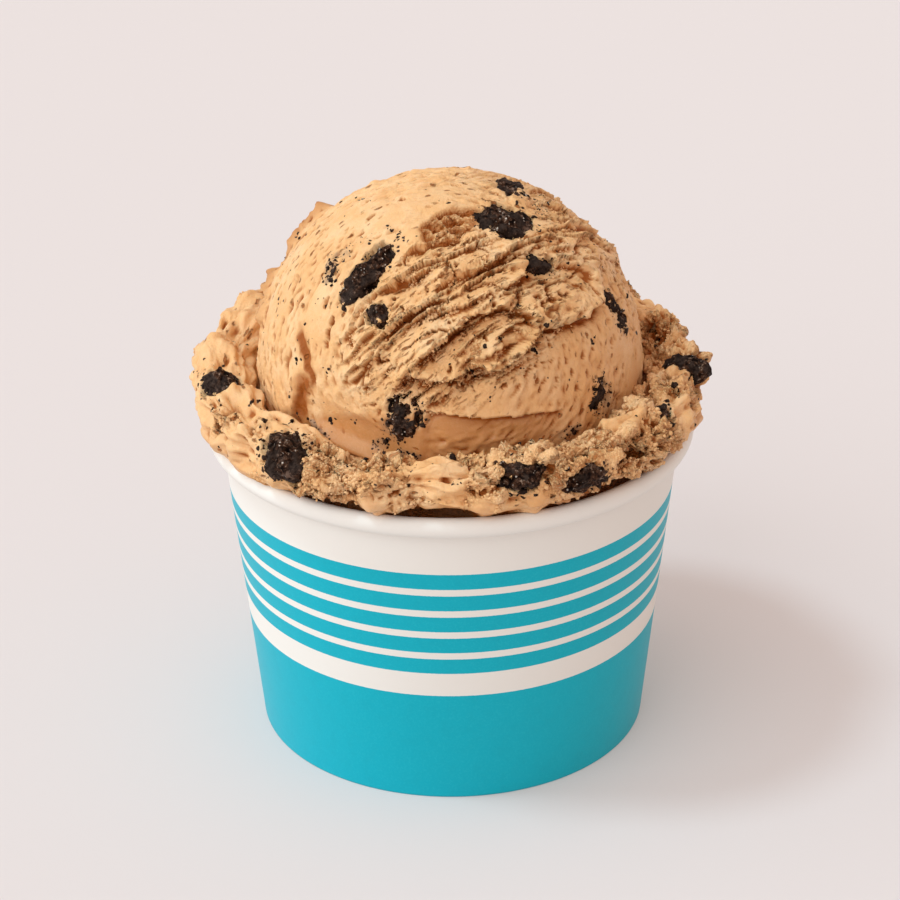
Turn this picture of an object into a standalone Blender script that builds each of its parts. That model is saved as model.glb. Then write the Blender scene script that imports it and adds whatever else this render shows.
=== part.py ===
"""Gelato cup: a paper cup with a rolled rim, filled with coffee-coloured gelato, and a round
scoop on top whose squeezed-out collar rests on the rim. Lumps of dark cocoa biscuit sit in it.

Metres, +Z up. The origin is the centre of the cup's foot, on the surface it stands on.
The side that is seen first faces -Y. Azimuths are in degrees from +X towards +Y.
"""
import math

import bmesh
import bpy
from mathutils import Vector, noise

# ---- driving dimensions: the cup ------------------------------------------------------
RIM_OUTER_R = 0.0450        # outside of the rolled rim
CUP_HEIGHT = 0.0615         # foot to the top of the rim
FOOT_R = 0.03645            # outside of the sleeve at the foot
WALL_SLOPE = 0.1015         # outward lean of the sleeve, metres out per metre up
PAPER = 0.0005              # board thickness
ROLL_HALF_W = 0.00145       # the rim's roll is a slightly flattened tube
ROLL_HALF_H = 0.00185
HEM_TOP = 0.0050            # the sleeve's foot is turned in and up to this height
DISC_TOP = 0.0063           # upper face of the recessed bottom disc
GAP = 0.0003                # clearance between separate pieces

# ---- driving dimensions: the gelato ---------------------------------------------------
BALL_R = 0.0351             # one round scoop
BALL_Z = 0.0714             # height of its centre
COLLAR_RING_R = 0.0412      # the collar is a lumpy ring round the foot of the scoop
COLLAR_TUBE_R = 0.0053
COLLAR_Z = 0.0664
COLLAR_SQUARE = 0.78        # below 1 the ring's section is squarer than a circle
FILL_TOP = 0.0590           # the gelato meets the cup's wall up to this height

# ---- how finely things are turned -----------------------------------------------------
CUP_STEPS = 56
GELATO_STEPS = 66

SHOW_SIDE = -90.0           # azimuth of the side that is seen first


def wall_r(z, inset=0.0):
    """Outer radius of the sleeve at height z, less an inset."""
    return FOOT_R + WALL_SLOPE * z - inset


def arc(centre_r, centre_z, half_w, half_h, start, end, count):
    """Points on an ellipse arc in the (radius, height) plane, angles in degrees."""
    points = []
    for i in range(count):
        t = math.radians(start + (end - start) * i / (count - 1))
        points.append((centre_r + half_w * math.cos(t), centre_z + half_h * math.sin(t)))
    return points


def collar_section(tube_angle):
    """The collar's section as (radius, height): a superellipse, 0 facing out and 90 up."""
    c, s = math.cos(math.radians(tube_angle)), math.sin(math.radians(tube_angle))
    out = math.copysign(abs(c) ** COLLAR_SQUARE, c)
    up = math.copysign(abs(s) ** COLLAR_SQUARE, s)
    return COLLAR_RING_R + COLLAR_TUBE_R * out, COLLAR_Z + COLLAR_TUBE_R * up


def hill(azimuth, centre, half_width):
    """A smooth bump of height 1 at the centre azimuth, worn away to the sides."""
    away = (azimuth - centre + 180.0) % 360.0 - 180.0
    return math.exp(-((away / half_width) ** 2))


# ---- scene helpers --------------------------------------------------------------------
def clear_scene():
    for thing in list(bpy.data.objects):
        bpy.data.objects.remove(thing)


def new_collection(name):
    group = bpy.data.collections.new(name)
    bpy.context.scene.collection.children.link(group)
    return group


def material(name, colour, roughness):
    mat = bpy.data.materials.new(name)
    mat.use_nodes = True
    shader = mat.node_tree.nodes["Principled BSDF"]
    shader.inputs["Base Color"].default_value = (*colour, 1.0)
    shader.inputs["Roughness"].default_value = roughness
    shader.inputs["Metallic"].default_value = 0.0
    mat.diffuse_color = (*colour, 1.0)
    return mat


def profile_object(name, points, group, closed):
    """An edge chain in the XZ plane, ready for a Screw modifier."""
    mesh = bpy.data.meshes.new(name)
    edges = [(i, i + 1) for i in range(len(points) - 1)]
    if closed:
        edges.append((len(points) - 1, 0))
    mesh.from_pydata([(r, 0.0, z) for r, z in points], edges, [])
    obj = bpy.data.objects.new(name, mesh)
    group.objects.link(obj)
    return obj


def turn(obj, steps):
    """Turn a profile once about Z."""
    screw = obj.modifiers.new("Turn", "SCREW")
    screw.axis = "Z"
    screw.angle = math.tau
    screw.steps = steps
    screw.render_steps = steps
    screw.use_merge_vertices = True
    screw.merge_threshold = 0.00001
    screw.use_smooth_shade = True
    return obj


def bake(obj):
    """Replace an object's mesh with its evaluated one, its modifiers applied."""
    graph = bpy.context.evaluated_depsgraph_get()
    mesh = bpy.data.meshes.new_from_object(obj.evaluated_get(graph))
    obj.modifiers.clear()
    obj.data = mesh
    return obj


# ---- the paper cup --------------------------------------------------------------------
def cup_wall(group):
    """The sleeve: a cone of white board, rolled outward at the rim and hemmed at the foot."""
    roll_r = RIM_OUTER_R - ROLL_HALF_W
    roll_z = CUP_HEIGHT - ROLL_HALF_H
    hem_out = 2 * GAP + 2 * PAPER
    hem_in = hem_out + PAPER
    roll = arc(roll_r, roll_z, ROLL_HALF_W, ROLL_HALF_H, 170.0, -125.0, 10)
    points = roll + [
        (wall_r(0.0560), 0.0560),
        (wall_r(0.0280), 0.0280),
        (wall_r(0.0), 0.0),
        (wall_r(0.0, hem_in), 0.0),
        (wall_r(HEM_TOP, hem_in), HEM_TOP),
        (wall_r(HEM_TOP, hem_out), HEM_TOP),
        (wall_r(PAPER, hem_out), PAPER),
        (wall_r(PAPER, PAPER), PAPER),
        (wall_r(0.0280, PAPER), 0.0280),
        (wall_r(0.0570, PAPER), 0.0570),
    ]
    obj = turn(profile_object("cup_wall", points, group, closed=True), CUP_STEPS)
    obj.data.materials.append(material("cup_board", (0.86, 0.84, 0.80), 0.5))
    return obj


def cup_bottom(group):
    """The bottom disc, its edge turned down into the hem of the sleeve."""
    skirt_out = PAPER + GAP
    skirt_in = 2 * PAPER + GAP
    skirt_foot = PAPER + GAP
    points = [
        (0.0, DISC_TOP),
        (wall_r(DISC_TOP, skirt_out), DISC_TOP),
        (wall_r(skirt_foot, skirt_out), skirt_foot),
        (wall_r(skirt_foot, skirt_in), skirt_foot),
        (wall_r(DISC_TOP - PAPER, skirt_in), DISC_TOP - PAPER),
        (0.0, DISC_TOP - PAPER),
    ]
    obj = turn(profile_object("cup_bottom", points, group, closed=False), CUP_STEPS)
    obj.data.materials.append(material("base_board", (0.86, 0.84, 0.80), 0.6))
    return obj


# ---- the gelato -----------------------------------------------------------------------
COLLAR_ANGLES = (157.0, 140.0, 118.0, 96.0, 74.0, 52.0, 30.0, 8.0, -14.0, -34.0, -56.0)


def gelato_profile():
    """Half section, from the pole of the scoop down the outside to the bottom of the fill."""
    ball = arc(0.0, BALL_Z, BALL_R, BALL_R, 90.0, -5.0, 16)
    ball[0] = (0.0, BALL_Z + BALL_R)
    collar = [collar_section(angle) for angle in COLLAR_ANGLES]
    fill = [
        (wall_r(0.0612, PAPER + GAP) - 0.0003, 0.0612),
        (wall_r(FILL_TOP, PAPER + GAP), FILL_TOP),
        (wall_r(0.0330, PAPER + GAP), 0.0330),
        (wall_r(DISC_TOP + GAP, PAPER + GAP), DISC_TOP + GAP),
        (0.0, DISC_TOP + GAP),
    ]
    return ball + collar + fill


FOLD_DEPTH = 0.0015         # the step from a fold's lip down to the next fold
FOLD_PITCH = 0.27           # from lip to lip, as part of the scoop's radius
FOLD_CLIMB = 0.0086         # climb of a lip for each degree of azimuth, in the same part


def scoop_relief(azimuth, height):
    """How far the scoop stands out of a true ball: torn folds in front, ridges at the sides.

    A fold swells slowly downward to its lip and then drops back; the lips climb to the right.
    """
    rise = (height - BALL_Z) / BALL_R
    folded = hill(azimuth, SHOW_SIDE + 8.0, 48.0) * math.exp(-(((rise - 0.45) / 0.34) ** 2))
    folds_down = (FOLD_CLIMB * (azimuth - SHOW_SIDE) - rise) / FOLD_PITCH
    swell = folds_down - math.floor(folds_down) - 0.5
    left_ridge = hill(azimuth, 170.0, 9.0) * hill(rise * 90.0, 55.0, 24.0)
    right_ridge = hill(azimuth, 4.0, 8.0) * hill(rise * 90.0, 50.0, 12.0)
    return FOLD_DEPTH * folded * swell + 0.0010 * left_ridge + 0.0008 * right_ridge


def collar_relief(azimuth, place):
    """Lumps of the collar: broad lobes round the ring, smaller crumbs over them."""
    a = math.radians(azimuth)
    broad = 0.5 * math.sin(5 * a + 0.7) + 0.35 * math.sin(9 * a + 2.1) + 0.25 * math.sin(13 * a)
    crumbs = noise.noise(place * 190.0) + 0.5 * noise.noise(place * 420.0)
    return 0.0007 * broad + 0.0017 * crumbs


SAGS = ((-167.0, 12.0, 0.0018), (-145.0, 8.0, 0.0015), (-22.0, 12.0, 0.0015), (75.0, 9.0, 0.0014))


def collar_lift(azimuth):
    """The collar stands higher at the back left and a little at the back right."""
    return 0.0042 * hill(azimuth, 150.0, 38.0) + 0.0022 * hill(azimuth, 35.0, 28.0)


def collar_spread(azimuth):
    """The collar pushes over the rim at the sides and keeps inside it in front."""
    side = 0.0009 * hill(azimuth, 180.0, 50.0) + 0.0006 * hill(azimuth, 0.0, 45.0)
    return side - 0.0003 * hill(azimuth, SHOW_SIDE, 45.0)


def collar_sag(azimuth):
    """Where the collar has melted a little, its outer edge hangs past the rim."""
    return sum(depth * hill(azimuth, centre, width) for centre, width, depth in SAGS)


def shape_gelato(obj):
    """Move the turned surface's points outward by the scoop's and the collar's relief."""
    bottom = CUP_HEIGHT + GAP
    for vertex in obj.data.vertices:
        x, y, z = vertex.co
        radius = math.hypot(x, y)
        if radius < 0.0001:
            continue
        azimuth = math.degrees(math.atan2(y, x))
        ring = Vector((x / radius, y / radius, 0.0))
        if z > bottom and radius > BALL_R + 0.0002:
            out = ring * ((radius - COLLAR_RING_R) / COLLAR_TUBE_R)
            out.z = (z - COLLAR_Z) / COLLAR_TUBE_R
            clear = max(0.0, min(1.0, (z - bottom) / 0.004))
            outside = max(0.0, min(1.0, (radius - RIM_OUTER_R) / 0.0010))
            place = vertex.co.copy()
            vertex.co += out * collar_relief(azimuth, place) * clear
            vertex.co += ring * collar_spread(azimuth) * clear
            vertex.co.z += collar_lift(azimuth) * max(0.0, out.z)
            vertex.co.z = max(vertex.co.z, bottom)
            vertex.co.z -= collar_sag(azimuth) * outside * (1.0 - clear * 0.6)
        elif z > BALL_Z:
            out = (vertex.co - Vector((0.0, 0.0, BALL_Z))).normalized()
            vertex.co += out * scoop_relief(azimuth, z)


def gelato(group):
    """The fill, the collar and the scoop are one body of gelato."""
    obj = turn(profile_object("gelato", gelato_profile(), group, closed=False), GELATO_STEPS)
    bake(obj)
    shape_gelato(obj)
    obj.data.materials.append(material("gelato", (0.72, 0.47, 0.26), 0.45))
    return obj


# ---- lumps of dark cocoa biscuit ------------------------------------------------------
# Where the two ends of each lump's long side lie, then its width and its depth.
# On the scoop a place is (azimuth, elevation); on the collar it is (azimuth, tube angle),
# where a tube angle of 0 faces outward and 90 faces up.
SCOOP_LUMPS = {
    "left_long": ((-121.0, 60.0), (-131.0, 37.0), 0.0058, 0.0060),
    "left_small": ((-120.0, 34.0), (-112.0, 36.5), 0.0045, 0.0045),
    "top_large": ((-68.0, 69.0), (-27.0, 62.0), 0.0085, 0.0060),
    "crown": ((25.0, 72.0), (-22.0, 70.0), 0.0052, 0.0045),
    "hollow": ((-54.0, 50.5), (-42.0, 46.5), 0.0055, 0.0055),
    "right_sliver": ((-22.0, 32.5), (-21.0, 19.5), 0.0040, 0.0045),
    "right_low": ((-40.0, 10.5), (-43.0, -1.0), 0.0058, 0.0055),
    "front_low": ((-101.0, 15.0), (-105.0, 1.5), 0.0062, 0.0055),
    "back_high": ((96.0, 52.0), (112.0, 41.0), 0.0060, 0.0060),
    "back_mid": ((60.0, 22.0), (70.0, 12.0), 0.0052, 0.0050),
    "back_side": ((151.0, 30.0), (146.0, 18.0), 0.0048, 0.0050),
}
COLLAR_LUMPS = {
    "left": ((-170.0, 74.0), (-161.0, 78.0), 0.0055, 0.0050),
    "front_left": ((-137.0, 56.0), (-123.0, 22.0), 0.0082, 0.0070),
    "front_right": ((-79.0, 38.0), (-70.0, 30.0), 0.0055, 0.0052),
    "rim": ((-64.0, -2.0), (-53.0, 4.0), 0.0055, 0.0055),
    "right": ((-7.0, 70.0), (-3.0, 22.0), 0.0064, 0.0062),
    "right_small": ((-32.0, 84.0), (-31.0, 42.0), 0.0042, 0.0045),
    "back_left": ((128.0, 48.0), (138.0, 30.0), 0.0066, 0.0060),
    "back_right": ((66.0, 40.0), (56.0, 50.0), 0.0060, 0.0055),
}
LUMP_PROUD = 0.0009         # a lump's outer face stands this far out of the gelato
LUMP_BLUNT = 0.62           # the outer face is cut off at this part of the lump's half depth
LUMP_ROUGH = 0.24           # unevenness of a lump, as part of its size


def scoop_place(azimuth, elevation):
    """A point on the scoop and the outward direction there."""
    a, e = math.radians(azimuth), math.radians(elevation)
    out = Vector((math.cos(e) * math.cos(a), math.cos(e) * math.sin(a), math.sin(e)))
    return Vector((0.0, 0.0, BALL_Z)) + out * BALL_R, out


def collar_place(azimuth, tube_angle):
    """A point on the collar and the outward direction there."""
    a, t = math.radians(azimuth), math.radians(tube_angle)
    ring = Vector((math.cos(a), math.sin(a), 0.0))
    out = ring * math.cos(t) + Vector((0.0, 0.0, math.sin(t)))
    radius, height = collar_section(tube_angle)
    place = ring * (radius + collar_spread(azimuth))
    place.z = height + collar_lift(azimuth) * max(0.0, math.sin(t))
    return place, out


def lump_mesh(name, place, spec, swell):
    """A broken lump: a faceted ball stretched along its long side, blunt on the outside.

    swell is added all round, for the socket that the lump sits in.
    """
    start, end, width, depth = spec
    first, last = place(*start)[0], place(*end)[0]
    surface, out = place((start[0] + end[0]) / 2.0, (start[1] + end[1]) / 2.0)
    along = last - first
    long_half = along.length / 2.0
    across = out.cross(along).normalized()
    along = across.cross(out)
    centre = surface + out * (LUMP_PROUD - LUMP_BLUNT * depth / (1.0 + LUMP_BLUNT))
    bm = bmesh.new()
    bmesh.ops.create_icosphere(bm, subdivisions=2, radius=1.0)
    for vertex in bm.verts:
        unit = vertex.co.normalized()
        rough = 1.0 + LUMP_ROUGH * noise.noise(unit * 1.7 + first * 900.0)
        height = min(unit.z, LUMP_BLUNT)
        offset = along * unit.x * (long_half * rough + swell)
        offset += across * unit.y * (width / 2.0 * rough + swell)
        offset += out * height * (depth / (1.0 + LUMP_BLUNT) * rough + swell / LUMP_BLUNT)
        vertex.co = centre + offset
    bmesh.ops.recalc_face_normals(bm, faces=bm.faces)
    mesh = bpy.data.meshes.new(name)
    bm.to_mesh(mesh)
    bm.free()
    return mesh


def add_lumps(group, cutters, body):
    """Each lump is its own piece, and its socket is cut out of the gelato round it."""
    families = (("biscuit_scoop_", SCOOP_LUMPS, scoop_place),
                ("biscuit_collar_", COLLAR_LUMPS, collar_place))
    for prefix, lumps, place in families:
        for word, spec in lumps.items():
            name = prefix + word
            lump = bpy.data.objects.new(name, lump_mesh(name, place, spec, 0.0))
            lump.data.materials.append(material(name, (0.030, 0.019, 0.015), 0.6))
            group.objects.link(lump)
            socket_mesh = lump_mesh(name + "_socket", place, spec, 1.35 * GAP)
            socket = bpy.data.objects.new(name + "_socket", socket_mesh)
            socket.hide_render = True
            socket.display_type = "WIRE"
            cutters.objects.link(socket)
            cut = body.modifiers.new(word, "BOOLEAN")
            cut.operation = "DIFFERENCE"
            cut.solver = "EXACT"
            cut.object = socket


clear_scene()
pieces = new_collection("gelato_cup")
guides = new_collection("gelato_cup_cutters")
cup_wall(pieces)
cup_bottom(pieces)
add_lumps(pieces, guides, gelato(pieces))
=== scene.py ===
"""The looks of a gelato cup: a striped board cup, coffee gelato and dark cocoa biscuit.

Metres, +Z up, the cup's foot centred on the origin. The side seen first faces -Y.
Each section is one piece or one group of like pieces, in the order they are put together.
"""

import bpy
import numpy as np
from mathutils import Matrix, Vector


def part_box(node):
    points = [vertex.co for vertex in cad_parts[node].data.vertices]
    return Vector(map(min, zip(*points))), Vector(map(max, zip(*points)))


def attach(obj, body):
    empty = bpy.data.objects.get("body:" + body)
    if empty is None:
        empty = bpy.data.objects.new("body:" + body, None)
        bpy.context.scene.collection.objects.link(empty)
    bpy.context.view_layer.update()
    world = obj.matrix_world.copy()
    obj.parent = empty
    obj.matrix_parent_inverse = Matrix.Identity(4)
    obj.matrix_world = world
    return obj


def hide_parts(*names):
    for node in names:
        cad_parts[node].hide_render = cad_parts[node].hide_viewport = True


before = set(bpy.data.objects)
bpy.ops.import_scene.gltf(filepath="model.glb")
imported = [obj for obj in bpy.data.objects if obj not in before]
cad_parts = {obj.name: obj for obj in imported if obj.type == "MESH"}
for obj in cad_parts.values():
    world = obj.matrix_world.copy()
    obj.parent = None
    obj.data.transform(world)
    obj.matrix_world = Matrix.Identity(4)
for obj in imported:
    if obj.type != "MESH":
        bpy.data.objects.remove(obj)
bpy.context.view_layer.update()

MM = 0.001


# =====================================================================================
# The cup's sleeve. Coated white board, wound into a cone, glued along one side seam,
# curled outward into a rolled rim and turned in at the foot. Its stripes are printed.
# =====================================================================================
wall_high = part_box("cup_wall")[1]
RIM_R = wall_high.x
CUP_HEIGHT = wall_high.z
FOOT_R = RIM_R - 8.55 * MM
WALL_SLOPE = 0.1015
BOARD = 0.5 * MM
ROLL_HALF_W = 1.45 * MM
ROLL_HALF_H = 1.85 * MM
HEM_TOP = 5.0 * MM
FIT = 0.3 * MM
SEAM_AZIMUTH = np.radians(68.0)
SEAM_HALF = 3.5 * MM
SEAM_STEP = 0.35 * MM


def surface(name, points, wrap_rows=False, start=None, end=None):
    """A mesh from a grid of points, (rows, columns, 3); the columns run once round.

    Rows run down the outside, columns anticlockwise seen from above, so faces point out.
    wrap_rows joins the last row to the first; start and end are points that close an end.
    """
    rows, cols = points.shape[:2]
    index = np.arange(rows * cols).reshape(rows, cols)
    upper = index if wrap_rows else index[:-1]
    lower = np.roll(index, -1, axis=0) if wrap_rows else index[1:]
    quads = np.stack([upper, lower, np.roll(lower, -1, 1), np.roll(upper, -1, 1)], -1).reshape(-1, 4)
    coords = [points.reshape(-1, 3)]
    fans = []
    count = rows * cols
    for pole, ring, outward in ((start, index[0], True), (end, index[-1], False)):
        if pole is None:
            continue
        coords.append(np.array([pole], float))
        tip = np.full(cols, count)
        count += 1
        after = np.roll(ring, -1)
        fans.append(np.stack([tip, ring, after] if outward else [tip, after, ring], -1))
    loops = np.concatenate([quads.ravel()] + [fan.ravel() for fan in fans])
    sizes = np.concatenate([np.full(len(quads), 4)] + [np.full(len(fan), 3) for fan in fans])
    mesh = bpy.data.meshes.new(name)
    mesh.vertices.add(count)
    mesh.vertices.foreach_set("co", np.concatenate(coords).astype(np.float32).ravel())
    mesh.loops.add(len(loops))
    mesh.loops.foreach_set("vertex_index", loops.astype(np.int32))
    mesh.polygons.add(len(sizes))
    mesh.polygons.foreach_set("loop_start", (np.cumsum(sizes) - sizes).astype(np.int32))
    mesh.update(calc_edges=True)
    mesh.validate()
    mesh.shade_smooth()
    piece = bpy.data.objects.new(name, mesh)
    bpy.context.scene.collection.objects.link(piece)
    return piece


def wall_r(z, inset=0.0):
    """Outer radius of the sleeve at a height, less an inset."""
    return FOOT_R + WALL_SLOPE * z - inset


def ease(x, low, high):
    """0 below low, 1 above high, and a smooth S between them; low may be the larger."""
    t = np.clip((x - low) / (high - low), 0.0, 1.0)
    return t * t * (3.0 - 2.0 * t)


def sleeve_profile():
    """Half section of the sleeve as one loop: over the roll, down the outside, up the inside."""
    angle = np.radians(np.linspace(172.0, -128.0, 30))
    roll = np.stack([RIM_R - ROLL_HALF_W + ROLL_HALF_W * np.cos(angle),
                     CUP_HEIGHT - ROLL_HALF_H + ROLL_HALF_H * np.sin(angle)], -1)
    down = np.array([56.6, 55.6, 50.0, 40.0, 30.0, 20.0, 10.0, 3.0, 0.5, 0.12]) * MM
    outside = np.stack([wall_r(down), down], -1)
    hem_out = 2 * FIT + 2 * BOARD
    hem_in = hem_out + BOARD
    foot = [(wall_r(0.0, 0.12 * MM), 0.0), (wall_r(0.0, hem_in - 0.12 * MM), 0.0),
            (wall_r(0.0, hem_in), 0.12 * MM), (wall_r(HEM_TOP, hem_in), HEM_TOP),
            (wall_r(HEM_TOP, hem_out), HEM_TOP), (wall_r(BOARD, hem_out), BOARD),
            (wall_r(BOARD, BOARD), BOARD)]
    up = np.array([3.0, 20.0, 40.0, 55.0, 57.6]) * MM
    inside = np.stack([wall_r(up, BOARD), up], -1)
    return np.concatenate([roll, outside, np.array(foot), inside])


def cup_sleeve():
    """The profile turned about Z; beside the seam the outer sheet lies on the inner one."""
    profile = sleeve_profile()
    around = np.linspace(-np.pi, np.pi, 480, endpoint=False)
    from_seam = (around - SEAM_AZIMUTH) * RIM_R
    step = SEAM_STEP * ease(from_seam, -SEAM_HALF - 0.3 * MM, -SEAM_HALF) \
        * ease(from_seam, SEAM_HALF + 4.0 * MM, SEAM_HALF - 4.0 * MM)
    outer = np.zeros(len(profile))
    outer[:30] = ease(np.linspace(172.0, -128.0, 30), 100.0, 40.0)
    outer[30:40] = 1.0
    radius = profile[:, :1] + outer[:, None] * step[None, :]
    height = np.repeat(profile[:, 1:], len(around), axis=1)
    points = np.stack([radius * np.cos(around), radius * np.sin(around), height], -1)
    return surface("cup_sleeve", points, wrap_rows=True)


# The print, in mm above the table: a broad band round the foot, then five equal stripes.
FOOT_BAND_TOP = 23.0
FIRST_STRIPE = 27.9
STRIPES = 5
STRIPE_PITCH = 4.53
STRIPE_HEIGHT = 3.17
INK_EDGES = [FOOT_BAND_TOP]
for stripe in range(STRIPES):
    below = FIRST_STRIPE + STRIPE_PITCH * stripe
    INK_EDGES += [below, below + STRIPE_HEIGHT]
INK = (0.002, 0.405, 0.515)
BARE_BOARD = (0.80, 0.77, 0.72)


def shader_group(name, inputs, outputs, build):
    """A node group: inputs are (name, kind, value), outputs (name, kind); build wires it."""
    group = bpy.data.node_groups.new(name, "ShaderNodeTree")
    kinds = {"value": "NodeSocketFloat", "colour": "NodeSocketColor", "vector": "NodeSocketVector"}
    for word, kind, value in inputs:
        socket = group.interface.new_socket(word, in_out="INPUT", socket_type=kinds[kind])
        if value is not None:
            socket.default_value = value
    for word, kind in outputs:
        group.interface.new_socket(word, in_out="OUTPUT", socket_type=kinds[kind])
    build(group, group.nodes.new("NodeGroupInput"), group.nodes.new("NodeGroupOutput"))
    return group


def node(tree, kind, settings=None, **sockets):
    """Add a node; settings are its properties, sockets its inputs (a value or an output)."""
    made = tree.nodes.new("ShaderNode" + kind)
    for word, value in (settings or {}).items():
        setattr(made, word, value)
    for word, value in sockets.items():
        slot = made.inputs[int(word[1:])] if word[0] == "_" else made.inputs[word.replace("_", " ")]
        if isinstance(value, bpy.types.NodeSocket):
            tree.links.new(value, slot)
        else:
            slot.default_value = value
    return made


def math(tree, operation, first, second=0.0, third=0.0, clamp=False):
    """One Math node's result."""
    settings = {"operation": operation, "use_clamp": clamp}
    return node(tree, "Math", settings, _0=first, _1=second, _2=third).outputs[0]


def between(tree, value, low, high):
    """A smooth 0 to 1 as value goes from low to high."""
    made = node(tree, "MapRange", {"interpolation_type": "SMOOTHSTEP"},
                Value=value, From_Min=low, From_Max=high)
    return made.outputs["Result"]


def blend(tree, share, first, second, kind="MIX"):
    """Two colours mixed by a share from 0 to 1."""
    made = node(tree, "Mix", {"data_type": "RGBA", "blend_type": kind, "clamp_factor": True})
    for slot, value in ((made.inputs[0], share), (made.inputs[6], first), (made.inputs[7], second)):
        if isinstance(value, bpy.types.NodeSocket):
            tree.links.new(value, slot)
        elif isinstance(value, tuple):
            slot.default_value = (*value, 1.0)
        else:
            slot.default_value = value
    return made.outputs[2]


def new_material(name, **shader):
    """A material with a Principled shader, whose constant sockets are given by name."""
    material = bpy.data.materials.new(name)
    material.use_nodes = True
    principled = material.node_tree.nodes["Principled BSDF"]
    for word, value in shader.items():
        principled.inputs[word.replace("_", " ")].default_value = value
    return material, material.node_tree, principled


def build_fibres(tree, given, out):
    """Board is fine fibre: a soft mottle in three sizes of noise."""
    coarse = node(tree, "TexNoise", Vector=given.outputs["Place"], Scale=420.0, Detail=4.0, Roughness=0.6)
    fine = node(tree, "TexNoise", Vector=given.outputs["Place"], Scale=2600.0, Detail=3.0, Roughness=0.6)
    height = math(tree, "ADD", coarse.outputs["Fac"], math(tree, "MULTIPLY", fine.outputs["Fac"], 0.6))
    tree.links.new(height, out.inputs["Height"])
    tree.links.new(fine.outputs["Fac"], out.inputs["Fine"])
    tree.links.new(coarse.outputs["Fac"], out.inputs["Coarse"])


fibres = shader_group("board_fibres", [("Place", "vector", None)],
                      [("Height", "value"), ("Fine", "value"), ("Coarse", "value")], build_fibres)


def board_material(name, printed):
    """Coated board; printed board has teal ink between the edges, chosen by height."""
    material, tree, shader = new_material(name, Roughness=0.42, IOR=1.45, Specular_IOR_Level=0.20)
    place = node(tree, "TexCoord").outputs["Object"]
    grain = node(tree, "Group", {"node_tree": fibres}, Place=place)
    fine, coarse = grain.outputs["Fine"], grain.outputs["Coarse"]
    board = blend(tree, math(tree, "MULTIPLY", coarse, 0.12), BARE_BOARD, (0.80, 0.76, 0.71))
    colour = board
    if printed:
        height = node(tree, "SeparateXYZ", Vector=place).outputs["Z"]
        wobble = math(tree, "MULTIPLY", math(tree, "SUBTRACT", fine, 0.5), 0.00012)
        height = math(tree, "ADD", height, wobble)
        inked = None
        for order, edge in enumerate(INK_EDGES):
            step = between(tree, height, (edge - 0.035) * MM, (edge + 0.035) * MM)
            if inked is None:
                inked = math(tree, "SUBTRACT", 1.0, step)
            else:
                inked = math(tree, "ADD" if order % 2 else "SUBTRACT", inked, step)
        speckle = math(tree, "MULTIPLY", between(tree, fine, 0.44, 0.72), 0.30)
        ink = blend(tree, speckle, INK, (0.02, 0.50, 0.58))
        cloudy = math(tree, "MULTIPLY", between(tree, coarse, 0.45, 0.7), 0.25)
        ink = blend(tree, cloudy, ink, (0.003, 0.36, 0.46))
        colour = blend(tree, inked, board, ink)
    tree.links.new(colour, shader.inputs["Base Color"])
    bump = node(tree, "Bump", Strength=0.25, Distance=0.00006, Height=grain.outputs["Height"])
    tree.links.new(bump.outputs["Normal"], shader.inputs["Normal"])
    return material


sleeve = cup_sleeve()
sleeve.data.materials.append(board_material("printed_board", printed=True))
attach(sleeve, "root")
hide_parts("cup_wall")


# =====================================================================================
# The cup's bottom. A disc of the same board with its edge turned down, held in the hem.
# The frame's own piece is right as it is and only takes the finish.
# =====================================================================================
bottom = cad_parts["cup_bottom"]
bottom.data.materials.clear()
bottom.data.materials.append(board_material("plain_board", printed=False))


# =====================================================================================
# Gelato: what the fill, the collar and the scoop share. A dense frozen paste that tears
# into flakes and crumbs, with cocoa crumbs all through it.
# =====================================================================================
SCOOP_R = 35.1 * MM
SCOOP_CENTRE = np.array([0.0, 0.0, 71.4 * MM])
VIEW_RISE = np.radians(26.5)
RIGHTWARD = np.array([1.0, 0.0, 0.0])
UPWARD = np.array([0.0, np.sin(VIEW_RISE), np.cos(VIEW_RISE)])
FORWARD = np.array([0.0, -np.cos(VIEW_RISE), np.sin(VIEW_RISE)])


def dice(cell, salt):
    """A repeatable number from 0 to 1 for each whole-number cell (a mixed integer hash)."""
    mixed = cell[..., 0] * 73856093 ^ cell[..., 1] * 19349663 ^ cell[..., 2] * 83492791
    mixed = (mixed ^ (salt * 40503 + 12345)) * 2654435761
    mixed = (mixed ^ (mixed >> 15)) * 2246822519
    mixed = mixed ^ (mixed >> 13)
    return (mixed & 0xFFFFFF) / 16777216.0


def noise(points, size, salt=0):
    """Smooth noise, about -1 to 1: each lattice corner pulls its own way, eased between."""
    scaled = points / size
    base = np.floor(scaled).astype(np.int64)
    inside = scaled - base
    eased = inside ** 3 * (inside * (inside * 6.0 - 15.0) + 10.0)
    total = np.zeros(points.shape[:-1])
    for corner in np.ndindex(2, 2, 2):
        corner = np.array(corner)
        weight = np.prod(np.where(corner == 1, eased, 1.0 - eased), axis=-1)
        pull = np.stack([dice(base + corner, salt * 3 + k) * 2.0 - 1.0 for k in range(3)], -1)
        total += weight * np.sum(pull * (inside - corner), -1)
    return total * 1.5


def rough(points, size, octaves, salt=0, fall=0.5):
    """Several sizes of noise added, each half as large and fall times as strong."""
    return sum(fall ** k * noise(points, size / 2 ** k, salt + 11 * k) for k in range(octaves))


def creased(points, size, salt=0):
    """Sharp crests over round hollows, about -1 to 0.45, as where a stiff paste is torn."""
    return 0.45 - 1.9 * np.abs(noise(points, size, salt))


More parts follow.
